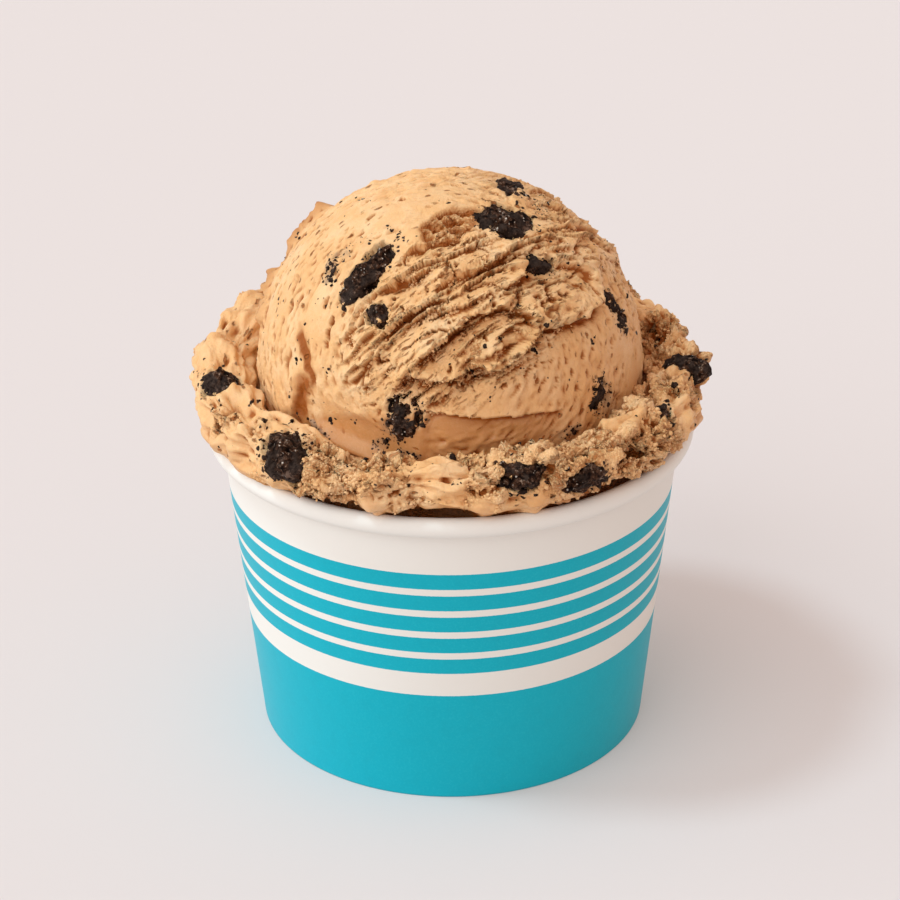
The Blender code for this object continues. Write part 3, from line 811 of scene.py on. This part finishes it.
# =====================================================================================
# The scoop. One ball pressed in a round disher: smooth where the steel wiped it, torn
# into overlapping flakes across the front, with a wiped band above the collar.
# =====================================================================================
# Lips of the flakes on the disc seen from the front, in scoop radii, right and up from its
# middle: the line, then how proud the lip is, how deep the hollow under it (mm), how far
# back the flake reaches, how wide the hollow is (scoop radii) and how ragged the lip is.
LIPS = (
    (((-0.28, -0.17), (-0.21, -0.11), (0.02, -0.09), (0.23, -0.06), (0.33, 0.0), (0.46, 0.12),
      (0.66, 0.20), (0.75, 0.26)), 1.3, 1.3, 0.16, 0.045, 1.0),
    (((-0.15, -0.01), (0.01, 0.10), (0.12, 0.20), (0.26, 0.24), (0.37, 0.19), (0.41, 0.16)),
     1.1, 1.5, 0.11, 0.05, 1.0),
    (((-0.32, 0.09), (-0.18, 0.20), (-0.12, 0.25), (-0.02, 0.27)), 0.8, 1.2, 0.08, 0.045, 1.0),
    (((-0.06, 0.35), (0.07, 0.39), (0.20, 0.44), (0.29, 0.48)), 0.8, 1.1, 0.09, 0.04, 1.0),
    (((-0.29, 0.34), (-0.18, 0.38), (-0.10, 0.43)), 0.7, 1.2, 0.07, 0.045, 1.0),
    (((-0.23, 0.47), (-0.16, 0.53), (-0.06, 0.57), (0.04, 0.59)), 0.5, 0.8, 0.12, 0.05, 0.9),
    (((0.44, 0.53), (0.52, 0.47), (0.60, 0.44), (0.72, 0.38)), 0.6, 0.8, 0.10, 0.05, 1.0),
    (((0.27, 0.32), (0.34, 0.40), (0.42, 0.53)), 0.8, 1.6, 0.12, 0.06, 1.0),
    (((-0.13, -0.24), (-0.03, -0.19), (0.07, -0.12)), 0.5, 0.8, 0.06, 0.03, 1.0),
    (((-0.50, -0.10), (-0.46, -0.06), (-0.42, -0.02)), 0.3, 0.9, 0.05, 0.04, 1.0),
    (((-0.41, -0.03), (-0.30, -0.01)), 0.3, 0.5, 0.05, 0.03, 1.0),
    (((-0.13, -0.27), (0.07, -0.30), (0.20, -0.31), (0.39, -0.29), (0.54, -0.27)),
     0.55, 0.7, 0.03, 0.30, 0.12),
)


def torn_lips(x, y, flat, ragged):
    """Height and slide of the flakes: a slow swell to each lip, a drop into the hollow under it.

    x and y are places on the disc; flat is 1 where lips are fully shown. The slide pushes a
    lip out over its hollow, square to the line.
    """
    height = np.zeros_like(x)
    slide = np.zeros(x.shape + (2,))
    for line, proud, deep, back, wide, torn_edge in LIPS:
        xs, ys = np.array(line).T
        slope = np.gradient(ys, xs)
        lip = np.interp(x, xs, ys)
        tilt = 1.0 / np.sqrt(1.0 + np.interp(x, xs, slope) ** 2)
        above = (y - lip) * tilt + ragged * torn_edge
        fade = ease(x, xs[0] - 0.03, xs[0] + 0.03) * ease(x, xs[-1] + 0.03, xs[-1] - 0.03) * flat
        over = ease(above, -0.022, 0.006)
        swell = 1.7 * proud * np.exp(-np.clip(above, 0, 9) / back) * over
        swell -= 1.45 * deep * np.exp(-np.clip(-above - 0.01, 0, 9) / wide) * (1.0 - over)
        height += fade * swell * MM
        push = 0.8 * MM * proud * fade * np.exp(-np.clip(above, 0, 9) / 0.05) * (above >= 0)
        run = np.polyfit(xs, ys, 1)[0]
        square = np.array([run, -1.0]) / np.hypot(run, 1.0)
        slide += push[..., None] * square
    return height, slide


def scoop():
    """A ball, its rows from the crown down, moved out by the flakes, crumbs and streaks."""
    azimuth = fine_front(480, 0.48)
    rise = np.radians(np.linspace(89.7, -16.0, 205))
    az, el = np.meshgrid(azimuth, rise)
    facing = np.stack([np.cos(el) * np.cos(az), np.cos(el) * np.sin(az), np.sin(el)], -1)
    points = SCOOP_CENTRE + SCOOP_R * facing
    x, y, near = facing @ RIGHTWARD, facing @ UPWARD, facing @ FORWARD
    front = ease(near, 0.05, 0.35)
    drawn = drawn_place(facing, ROLL_AXIS, 3.2)
    wiped_place = drawn_place(facing, FORWARD, 2.3)
    lean = np.arccos(np.clip(facing @ ROLL_AXIS, -1, 1)) * SCOOP_R
    # Where the surface is torn: the middle of the front, and a band at the upper right.
    across = -0.5 * (x - 0.06) + 0.87 * (y - 0.18)
    along = 0.87 * (x - 0.06) + 0.5 * (y - 0.18)
    middle = ease(np.hypot(along / 0.66, across / 0.42), 1.15, 0.75) * front
    turned = np.degrees(np.arctan2(y, x))
    rim_band = ease(np.hypot(x, y), 0.72, 0.86) * hill(turned, 48.0, 28.0) * ease(near, -0.1, 0.25) * 0.7
    back_torn = ease(noise(points, 22.0 * MM, 3), 0.05, 0.35) * ease(near, 0.1, -0.3)
    torn = np.clip(np.maximum(np.maximum(middle, rim_band), 0.8 * back_torn), 0, 1)
    ragged = 0.036 * noise(drawn, 2.6 * MM, 6) + 0.012 * noise(points, 1.8 * MM, 7) \
        + 0.002 * noise(points, 0.8 * MM, 8)
    height, slide = torn_lips(x, y, front, ragged)
    grit = crumbs(points + 0.3 * MM * noise(points, 0.9 * MM, 9)[..., None], 1.25 * MM, 15) - 0.35
    # Smaller flakes over the torn parts: a saw-tooth across the rolling, broken up along it.
    for pitch, depth, spare, salt in ((4.2, 1.7, -0.20, 13), (2.3, 1.25, 0.0, 14), (1.2, 0.60, 0.05, 24)):
        tooth = lean / (pitch * MM) + noise(drawn, 3.0 * MM, salt) \
            + 0.55 / pitch * noise(points, 1.9 * MM, salt + 20) \
            + 0.10 / pitch * noise(points, 0.8 * MM, salt + 25)
        saw = 1.0 - (tooth - np.floor(tooth))
        strength = ease(noise(drawn, 1.5 * pitch * MM, salt + 30), spare - 0.1, spare + 0.2)
        height += torn * depth * MM * (saw ** 1.6 - 0.38) * strength
    height += torn * 0.14 * MM * noise(drawn, 0.45 * MM, 29)
    rubble = ease(noise(points, 4.5 * MM, 12), -0.1, 0.35)
    height += torn * MM * grit * (0.10 + 0.8 * rubble * ease(height, 0.2 * MM, -0.9 * MM))
    height += torn * 0.08 * MM * rough(points, 0.9 * MM, 2, 16)
    wander = points + 0.5 * MM * noise(points, 1.2 * MM, 61)[..., None]
    rolled = noise(drawn_place(facing, ROLL_AXIS, 2.6), 3.4 * MM, 62)
    crevice = ease(np.abs(rolled + 3.0 * ragged), 0.075, 0.01)
    crevice *= ease(noise(points, 5.0 * MM, 63), -0.15, 0.15)
    holes = ease(crumbs(wander, 1.15 * MM, 64), 0.60, 0.68) * ease(noise(points, 4.0 * MM, 65), -0.1, 0.15)
    height -= torn * MM * (1.6 * crevice + 1.1 * holes)
    # A pocket of crumbs under the upper skin, beside the largest lump.
    along, across = 0.87 * x + 0.5 * (y - 0.63), -0.5 * x + 0.87 * (y - 0.63)
    pocket = ease(np.hypot(along / 0.17, across / 0.085) + 9.0 * ragged, 1.1, 0.8) * front
    torn_out = 1.4 * creased(wander, 3.0 * MM, 55) + 0.35 * creased(wander, 1.3 * MM, 56)
    height += pocket * MM * (torn_out + 0.4 * grit - 1.1)
    # The wiped parts: wrinkles, pits and scars drawn out along the wiping.
    wiped = (1.0 - torn) * (1.0 - pocket)
    wrinkled = ease(noise(points, 9.0 * MM, 18), -0.45, 0.1)
    height += wiped * MM * (0.20 * noise(wiped_place, 3.0 * MM, 17) + 0.25 * noise(points, 11.0 * MM, 18))
    height += wiped * wrinkled * MM * (0.50 * noise(wiped_place, 1.3 * MM, 39)
                                       + 0.42 * noise(wiped_place, 0.75 * MM, 40))
    scars = ease(crumbs(wiped_place, 1.5 * MM, 19), 0.66, 0.71) * ease(noise(points, 6.0 * MM, 28), -0.1, 0.1)
    nicks = ease(crumbs(wiped_place, 0.8 * MM, 27), 0.58, 0.64) \
        * ease(noise(points, 5.0 * MM, 38) + 0.3 * ease(x, 0.1, 0.6), -0.05, 0.15)
    scars *= (1.0 - 0.9 * ease(x, 0.0, 0.3) * ease(y, 0.3, 0.1)) * (0.4 + 0.6 * front)
    height -= wiped * MM * (scars + 0.30 * nicks) * ease(y, -0.35, -0.15)
    # A torn strip left by the disher's edge along the left outline, a bump at the right.
    strip_at = -0.05 + 0.21 * ease(turned, 146.0, 168.0)
    strip = np.exp(-((near - strip_at + 0.6 * ragged) / 0.075) ** 2)
    strip *= np.interp(turned, (126, 129, 143, 147, 151, 153, 159, 161, 163, 168, 170),
                       (0.0, 1.0, 0.9, 0.3, 0.3, 0.8, 0.7, 0.25, 0.7, 0.6, 0.0))
    bump = hill(turned, 33.0, 5.0) * np.exp(-((near - 0.02) / 0.16) ** 2)
    strip_height = 2.3 + 0.8 * noise(points, 2.6 * MM, 36) + 0.9 * noise(points, 1.2 * MM, 37)
    height += strip * strip_height * MM + bump * 1.3 * MM
    height *= 1.0 - 0.8 * near_lumps(points, 1.5, 1.05)
    # Two folds that face right, on the left of the front; their faces get painted shade.
    shaded = np.zeros_like(x)
    for xs, ys, proud, slope in (((-0.745, -0.725, -0.71, -0.69), (0.10, 0.03, -0.04, -0.13), 0.5, 0.008),
                                 ((-0.765, -0.755, -0.735), (-0.29, -0.20, -0.13), 0.9, 0.022)):
        order = np.argsort(ys)
        edge = np.interp(y, np.array(ys)[order], np.array(xs)[order])
        fade = ease(y, min(ys) - 0.06, min(ys) + 0.03) * ease(y, max(ys) + 0.08, max(ys) - 0.02) * front
        past = x - edge + 0.5 * ragged
        cliff = ease(past, slope, -slope)
        height += fade * proud * MM * (cliff * np.exp(np.clip(past, -9, 0) / 0.13)
                                       - 1.6 * (1.0 - cliff) * np.exp(-np.clip(past, 0, 9) / 0.012))
        shaded = np.maximum(shaded, 1.3 * fade * np.exp(-((past - 0.5 * slope) / (slope + 0.006)) ** 2))
    # Low on the left a smooth trough with a rounded crest along its lower side.
    crest = np.interp(x, (-0.70, -0.667, -0.557, -0.41, -0.264), (-0.33, -0.356, -0.429, -0.493, -0.566))
    over = (y - crest) * 0.88
    where = ease(x, -0.72, -0.62) * ease(x, -0.16, -0.30) * front
    trough = np.clip(over / 0.16, 0.0, 1.0)
    height *= 1.0 - 0.85 * where * ease(over, 0.17, 0.12)
    crested = where * np.exp(-(over / 0.030) ** 2)
    height += MM * (1.2 * crested - where * (3.2 * trough * (1.0 - trough) + 0.7 * ease(over, -0.01, -0.06)))
    keep = ease(el, np.radians(-14.0), np.radians(-6.0))
    height *= keep
    # Painted shading: shade in the hollows of the relief, a highlight on its crests, a little more
    # highlight over the torn parts and on the trough's crest.
    hollow = sunken(height, 3, 0.06 * MM, 0.44 * MM) + sunken(height, 8, 0.22 * MM, 1.2 * MM)
    hollow -= 0.16 * torn + 0.8 * crested
    # More painted shade in the crumb pocket, on the torn strip along the left outline and on the fold faces.
    hollow = np.clip(np.maximum(hollow + 0.6 * pocket, np.maximum(0.6 * strip, shaded)), -1, 1)
    right_here = RIGHTWARD - x[..., None] * facing
    up_here = UPWARD - y[..., None] * facing
    moved = points + facing * height[..., None]
    moved += right_here * slide[..., :1] + up_here * slide[..., 1:]
    sink, close = sockets(moved)
    moved -= facing * sink[..., None]
    crown = SCOOP_CENTRE + np.array([0.0, 0.0, SCOOP_R])
    keel = SCOOP_CENTRE - np.array([0.0, 0.0, 0.30 * SCOOP_R])
    piece = surface("gelato_scoop", moved, start=crown, end=keel)
    # A wet, melted band low on the front; its darker colour also paints the shade that falls there.
    band = ease(y, -0.27, -0.33) * front * ease(x, 0.75, 0.4)
    band = np.maximum(band, 0.4 * wiped * front * ease(y - 0.35 * x, 0.05, -0.30))
    cocoa = np.maximum(close, 0.30 * ease(noise(points, 9.0 * MM, 26), 0.1, 0.5))
    crumb = np.maximum(0.8 * pocket, torn * rubble * ease(hollow, 0.0, 0.6))
    paint(piece, torn=with_poles(torn, 0, 0), crumb=with_poles(crumb, 0, 0),
          hollow=with_poles(hollow, 0, 0.5), melt=with_poles(band, 0, 0), cocoa=with_poles(cocoa, 0, 0),
          drawn=with_poles(drawn, drawn[0, 0], drawn[-1, 0]),
          wiped=with_poles(wiped_place, wiped_place[0, 0], wiped_place[-1, 0]))
    piece.data.materials.append(gelato)
    return piece, moved, outward(moved), np.clip(torn * (0.3 + hollow), 0, 1) * keep


ball, scoop_at, scoop_out, scoop_torn = scoop()
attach(ball, "root")
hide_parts("gelato")


# =====================================================================================
# Lumps of dark cocoa biscuit, broken by hand. Brittle, open-crumbed and nearly black.
# Each is the frame's own lump with its broken faces roughened.
# =====================================================================================
def biscuit_material():
    """Dark open crumb: brown and pale crumbs on black, thin smears of gelato, painted glints of light."""
    material, tree, shader = new_material("cocoa_biscuit", IOR=1.45, Specular_IOR_Level=0.08)
    place = node(tree, "TexCoord").outputs["Object"]
    crumb = node(tree, "TexNoise", Vector=place, Scale=1300.0, Detail=6.0, Roughness=0.75).outputs["Fac"]
    lumps = node(tree, "TexVoronoi", {"feature": "F1"}, Vector=place, Scale=1000.0).outputs["Distance"]
    cells = node(tree, "TexVoronoi", {"feature": "F1"}, Vector=place, Scale=1900.0)
    chance = node(tree, "SeparateColor", Color=cells.outputs["Color"]).outputs["Red"]
    # Painted glints of light on chosen cells.
    painted_glint = math(tree, "MULTIPLY", between(tree, chance, 0.80, 0.84),
                 between(tree, cells.outputs["Distance"], 0.42, 0.24))
    patch = node(tree, "TexNoise", Vector=place, Scale=300.0, Detail=3.0).outputs["Fac"]
    broken = between(tree, patch, 0.46, 0.54)
    pressed = blend(tree, between(tree, crumb, 0.35, 0.65), (0.010, 0.005, 0.004), (0.050, 0.031, 0.023))
    colour = blend(tree, between(tree, crumb, 0.38, 0.52), (0.006, 0.0012, 0.0004), (0.085, 0.036, 0.019))
    colour = blend(tree, between(tree, crumb, 0.54, 0.64), colour, (0.42, 0.29, 0.21))
    # Painted shade in the crevices between the crumb's lumps.
    colour = blend(tree, between(tree, lumps, 0.42, 0.80), colour, (0.005, 0.0012, 0.0005))
    colour = blend(tree, broken, pressed, colour)
    film = node(tree, "TexNoise", Vector=place, Scale=330.0, Detail=6.0, Roughness=0.75).outputs["Fac"]
    thin = math(tree, "MULTIPLY", between(tree, film, 0.56, 0.66), 0.55)
    colour = blend(tree, thin, colour, (0.24, 0.145, 0.105))
    # The painted glints, laid on in patches in a pale colour.
    painted_sparkle = math(tree, "MULTIPLY", painted_glint, between(tree, patch, 0.50, 0.60))
    colour = blend(tree, painted_sparkle, colour, (0.80, 0.70, 0.60))
    tree.links.new(colour, shader.inputs["Base Color"])
    matt = math(tree, "SUBTRACT", 0.60, math(tree, "MULTIPLY", between(tree, crumb, 0.45, 0.70), 0.30))
    tree.links.new(matt, shader.inputs["Roughness"])
    relief = math(tree, "SUBTRACT", crumb, math(tree, "MULTIPLY", lumps, 0.7))
    relief = math(tree, "MULTIPLY", relief, math(tree, "ADD", 0.3, math(tree, "MULTIPLY", broken, 0.7)))
    bump = node(tree, "Bump", Strength=1.0, Distance=0.0009, Height=relief)
    tree.links.new(bump.outputs["Normal"], shader.inputs["Normal"])
    return material


biscuit = biscuit_material()


def chunk(name, salt):
    """A broken lump: a ball cut by random planes, stretched to the frame's lump and roughened."""
    centre, axes, reach = LUMPS[name]
    deeper = centre - SCOOP_CENTRE if "scoop" in name else centre * np.array([0.3, 0.3, 0.0])
    larger = LARGER.get(name, 1.0)
    depth = 0.55 + 1.3 * COVERED.get(name, 0.0) + 7.0 * abs(larger - 1.0)
    centre = centre - deeper / np.linalg.norm(deeper) * depth * MM
    chance = np.random.default_rng(salt)
    turn = np.linspace(-np.pi, np.pi, 60, endpoint=False)
    rise = np.radians(np.linspace(86.0, -86.0, 40))
    az, el = np.meshgrid(turn, rise)
    facing = np.stack([np.cos(el) * np.cos(az), np.cos(el) * np.sin(az), np.sin(el)], -1)
    planes = chance.normal(size=(11, 3))
    planes /= np.linalg.norm(planes, axis=1, keepdims=True)
    depth = chance.uniform(0.64, 0.98, 11)
    cut = (depth / np.maximum(facing @ planes.T, 0.2)).min(-1)
    shape = facing * np.minimum(cut, 1.12)[..., None] * reach * larger * np.array([1.12, 1.12, 1.0])
    if np.linalg.det(axes) < 0:
        axes = axes * np.array([[1.0], [1.0], [-1.0]])
    points = centre + shape @ axes
    normal = outward(points)
    push = 0.85 * (crumbs(points, 1.4 * MM, salt + 5) - 0.38) \
        + 0.45 * (crumbs(points, 0.7 * MM, salt + 6) - 0.4)
    push *= 0.25 + 0.75 * ease(noise(points, 4.0 * MM, salt + 8), -0.15, 0.15)
    push = MM * (push + 0.65 * rough(points, 2.4 * MM, 3, salt))
    points = points + normal * push[..., None]
    piece = surface(name + "_lump", points, start=points[0].mean(0), end=points[-1].mean(0))
    piece.data.materials.append(biscuit)
    return piece


for order, lump_name in enumerate(sorted(LUMPS)):
    lump = chunk(lump_name, 200 + order)
    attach(lump, "root")
    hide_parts(lump_name)


# =====================================================================================
# Loose crumbs. Gelato breaks into small grains along every torn edge, and biscuit dust
# of many sizes clings all over it. Each kind is one piece of little uneven balls.
# =====================================================================================
def scattered(name, places, normals, sizes, salt, flat=1.0, sunk=0.25):
    """One mesh of small uneven balls of 36 faces, set on places and pushed a little in."""
    chance = np.random.default_rng(salt)
    count = len(places)
    turn = np.arange(6) * np.pi / 3
    rise = np.radians(np.array([48.0, 0.0, -48.0]))[:, None]
    ball = np.stack([np.cos(rise) * np.cos(turn), np.cos(rise) * np.sin(turn), np.sin(rise) + 0 * turn], -1)
    ball = np.concatenate([ball.reshape(-1, 3), [[0, 0, 1], [0, 0, -1]]])
    lobes = chance.uniform(0.62, 1.25, (count, 20, 1)) * chance.uniform(0.6, 1.35, (count, 1, 3))
    spin = np.linalg.qr(chance.normal(size=(count, 3, 3)))[0]
    spin[:, 0] *= np.linalg.det(spin)[:, None]
    shape = np.einsum("nvi,nij->nvj", ball[None] * lobes, spin) * sizes[:, None, None]
    lean = np.einsum("nvi,ni->nv", shape, normals)
    shape = shape - (1.0 - flat) * lean[..., None] * normals[:, None]
    points = places[:, None] - sunk * (sizes[:, None] * normals)[:, None] + shape
    faces = []
    for ring in (0, 6):
        for k in range(6):
            a, b, c, d = ring + k, ring + 6 + k, ring + 6 + (k + 1) % 6, ring + (k + 1) % 6
            faces += [(a, b, c), (a, c, d)]
    faces += [(18, k, (k + 1) % 6) for k in range(6)] + [(19, 12 + (k + 1) % 6, 12 + k) for k in range(6)]
    faces = (np.array(faces)[None] + 20 * np.arange(count)[:, None, None]).reshape(-1, 3)
    mesh = bpy.data.meshes.new(name)
    mesh.from_pydata(points.reshape(-1, 3).tolist(), [], faces.tolist())
    mesh.shade_smooth()
    piece = bpy.data.objects.new(name, mesh)
    bpy.context.scene.collection.objects.link(piece)
    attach(piece, "root")
    return piece


def picks(points, normals, weight, count, salt):
    """Seeded choice of grid places in proportion to weight; returns places and normals."""
    chance = np.random.default_rng(salt)
    share = np.maximum(weight, 0.0).ravel()
    chosen = chance.choice(share.size, count, p=share / share.sum(), replace=False)
    return points.reshape(-1, 3)[chosen], normals.reshape(-1, 3)[chosen]


def gelato_crumbs():
    """Crumbs on the collar's torn parts and, smaller, in the scoop's tears."""
    chance = np.random.default_rng(5)
    clumps = ease(noise(collar_at, 3.0 * MM, 81), -0.15, 0.35)
    row = np.arange(len(collar_at))[:, None] / (len(collar_at) - 1.0)
    shown = ease(row, 0.05, 0.12) * ease(row, 0.80, 0.72)
    on_collar = picks(collar_at, collar_out, collar_crumbly * clumps * shown, 3000, 6)
    broken = ease(noise(scoop_at, 3.0 * MM, 82), -0.2, 0.3)
    on_scoop = picks(scoop_at, scoop_out, scoop_torn ** 2 * broken, 1900, 7)
    places = np.concatenate([on_collar[0], on_scoop[0]])
    normals = np.concatenate([on_collar[1], on_scoop[1]])
    sizes = np.concatenate([chance.uniform(0.45, 1.0, 3000) ** 3 * 0.52 * MM,
                            chance.uniform(0.45, 1.0, 1900) ** 2 * 0.36 * MM])
    return scattered("gelato_crumbs", places, normals, sizes, 8, sunk=0.1)


def larger_crumbs(points, normals, weight, count, salt):
    """Seeded larger crumbs in proportion to weight, each with two bits broken off beside it.

    Half widths run from 0.3 to 1 mm, the small ones more often. The bits lie one to three grid
    steps away and are 0.6 and 0.45 of its size.
    """
    chance = np.random.default_rng(salt)
    share = np.maximum(weight, 0.0).ravel()
    chosen = chance.choice(share.size, count, p=share / share.sum(), replace=False)
    halves = chance.uniform(0.55, 1.0, count) ** 2 * MM
    row, column = np.unravel_index(chosen, weight.shape)
    places, out, sizes = [], [], []
    for down, along, part in ((0, 0, 1.0), (2, 1, 0.6), (-1, 3, 0.45)):
        spot = (np.clip(row + down, 0, len(points) - 1), (column + along) % points.shape[1])
        places.append(points[spot])
        out.append(normals[spot])
        sizes.append(halves * part)
    return np.concatenate(places), np.concatenate(out), np.concatenate(sizes)


def biscuit_dust():
    """Dark crumbs: thick round the lumps, thin elsewhere, pressed nearly flush."""
    chance = np.random.default_rng(15)
    near_collar, near_scoop = sockets(collar_at)[1], sockets(scoop_at)[1]
    row = np.arange(len(collar_at))[:, None] / (len(collar_at) - 1.0)
    shown = ease(row, 0.05, 0.12) * ease(row, 0.80, 0.72)
    on_collar = picks(collar_at, collar_out, (0.05 + near_collar ** 2) * shown, 520, 16)
    area = np.hypot(scoop_at[..., 0], scoop_at[..., 1]) / SCOOP_R
    patches = ease(noise(scoop_at, 9.0 * MM, 83), 0.0, 0.45)
    on_scoop = picks(scoop_at, scoop_out, (0.03 * patches + near_scoop ** 4) * area, 620, 19)
    collar_large = larger_crumbs(collar_at, collar_out, (0.10 + near_collar ** 2) * shown, 26, 20)
    scoop_large = larger_crumbs(scoop_at, scoop_out, (0.02 + near_scoop ** 3) * area, 36, 22)
    places = np.concatenate([on_collar[0], on_scoop[0], collar_large[0], scoop_large[0]])
    normals = np.concatenate([on_collar[1], on_scoop[1], collar_large[1], scoop_large[1]])
    sizes = np.concatenate([chance.uniform(0.30, 1.0, 520) ** 3 * 0.70 * MM,
                            chance.uniform(0.34, 1.0, 620) ** 3 * 0.52 * MM,
                            collar_large[2], scoop_large[2]])
    return scattered("biscuit_dust", places, normals, sizes, 18, flat=0.6, sunk=0.25)


grains_piece = gelato_crumbs()
grains_piece.data.materials.append(gelato_material("gelato_crumb", 0.0))
dust_piece = biscuit_dust()
dust_piece.data.materials.append(biscuit)


# =====================================================================================
# The studio: a pale floor that runs on to the horizon, one large key light high on the
# left, a broad weak panel on the left and an even pale surround.
# =====================================================================================
CENTRE = Vector((-0.00017, 0.0, 0.0529))
DISTANCE = 0.5406
CAMERA_RISE = np.radians(26.48)
CAMERA_ROLL = np.radians(0.482)
FLOOR = (0.571, 0.526, 0.517)
FLOOR_GLOW = (0.84, 0.76, 0.745)
SURROUND = (0.76, 0.62, 0.555)
BACKDROP = (0.84, 0.76, 0.745)


def studio_camera():
    """A long lens, looking down on the cup from the front."""
    lens = bpy.data.cameras.new("camera")
    lens.lens = 116.05
    lens.sensor_width = 36.0
    lens.clip_start = 0.01
    lens.clip_end = 50.0
    camera = bpy.data.objects.new("camera", lens)
    bpy.context.scene.collection.objects.link(camera)
    back = Vector((0.0, -np.cos(CAMERA_RISE), np.sin(CAMERA_RISE)))
    right, up = Vector((1.0, 0.0, 0.0)), Vector((0.0, np.sin(CAMERA_RISE), np.cos(CAMERA_RISE)))
    c, s = np.cos(CAMERA_ROLL), np.sin(CAMERA_ROLL)
    turn = Matrix((c * right - s * up, s * right + c * up, back)).transposed()
    camera.matrix_world = Matrix.Translation(CENTRE + back * DISTANCE) @ turn.to_4x4()
    bpy.context.scene.camera = camera


def lamp(name, kind, towards, strength, colour):
    """A light that comes from a direction, aimed at the scoop from 1.4 m away."""
    light = bpy.data.lights.new(name, kind)
    light.energy = strength
    light.color = colour
    holder = bpy.data.objects.new(name, light)
    bpy.context.scene.collection.objects.link(holder)
    direction = Vector(towards).normalized()
    turn = direction.to_track_quat("Z", "Y").to_matrix().to_4x4()
    holder.matrix_world = Matrix.Translation(Vector((0.0, 0.0, 0.06)) + 1.4 * direction) @ turn
    holder.visible_camera = False
    return light


def floor():
    """A round floor far wider than the view, faintly uneven and, like a lit sweep, glowing a little."""
    around = np.linspace(0.0, 2 * np.pi, 96, endpoint=False)
    radius = np.array([6.0, 1.0, 0.2])
    points = np.stack([radius[:, None] * np.cos(around), radius[:, None] * np.sin(around),
                       np.zeros((3, 96))], -1)
    piece = surface("floor", points[::-1], start=(0.0, 0.0, 0.0))
    material, tree, shader = new_material("floor_paint", Roughness=0.85, Specular_IOR_Level=0.2,
                                          Emission_Color=(*FLOOR_GLOW, 1.0), Emission_Strength=0.20)
    place = node(tree, "TexCoord").outputs["Object"]
    cloud = node(tree, "TexNoise", Vector=place, Scale=9.0, Detail=3.0).outputs["Fac"]
    tree.links.new(blend(tree, cloud, FLOOR, tuple(0.99 * v for v in FLOOR)), shader.inputs["Base Color"])
    piece.data.materials.append(material)


def surround():
    """An even warm surround, which looks the same as the floor where it is seen directly."""
    world = bpy.data.worlds.new("surround")
    world.use_nodes = True
    tree = world.node_tree
    backdrop = tree.nodes["Background"]
    backdrop.inputs["Color"].default_value = (*BACKDROP, 1.0)
    glow = node(tree, "Background", Color=(*SURROUND, 1.0), Strength=1.0)
    seen = node(tree, "LightPath").outputs["Is Camera Ray"]
    chosen = node(tree, "MixShader", _0=seen, _1=glow.outputs[0], _2=backdrop.outputs[0])
    tree.links.new(chosen.outputs[0], tree.nodes["World Output"].inputs["Surface"])
    bpy.context.scene.world = world


studio_camera()
floor()
surround()
key = lamp("key", "SUN", (-0.465, -0.06, 0.88), 1.08, (0.62, 0.88, 1.0))
key.angle = np.radians(11.0)
soft_key = lamp("soft_key", "SUN", (-0.52, -0.62, 0.56), 1.12, (0.74, 0.92, 1.0))
soft_key.angle = np.radians(50.0)
left_fill = lamp("left_fill", "SUN", (-0.95, 0.05, 0.22), 1.0, (0.93, 0.98, 1.0))
left_fill.angle = np.radians(60.0)
bpy.context.scene.view_settings.view_transform = "Standard"
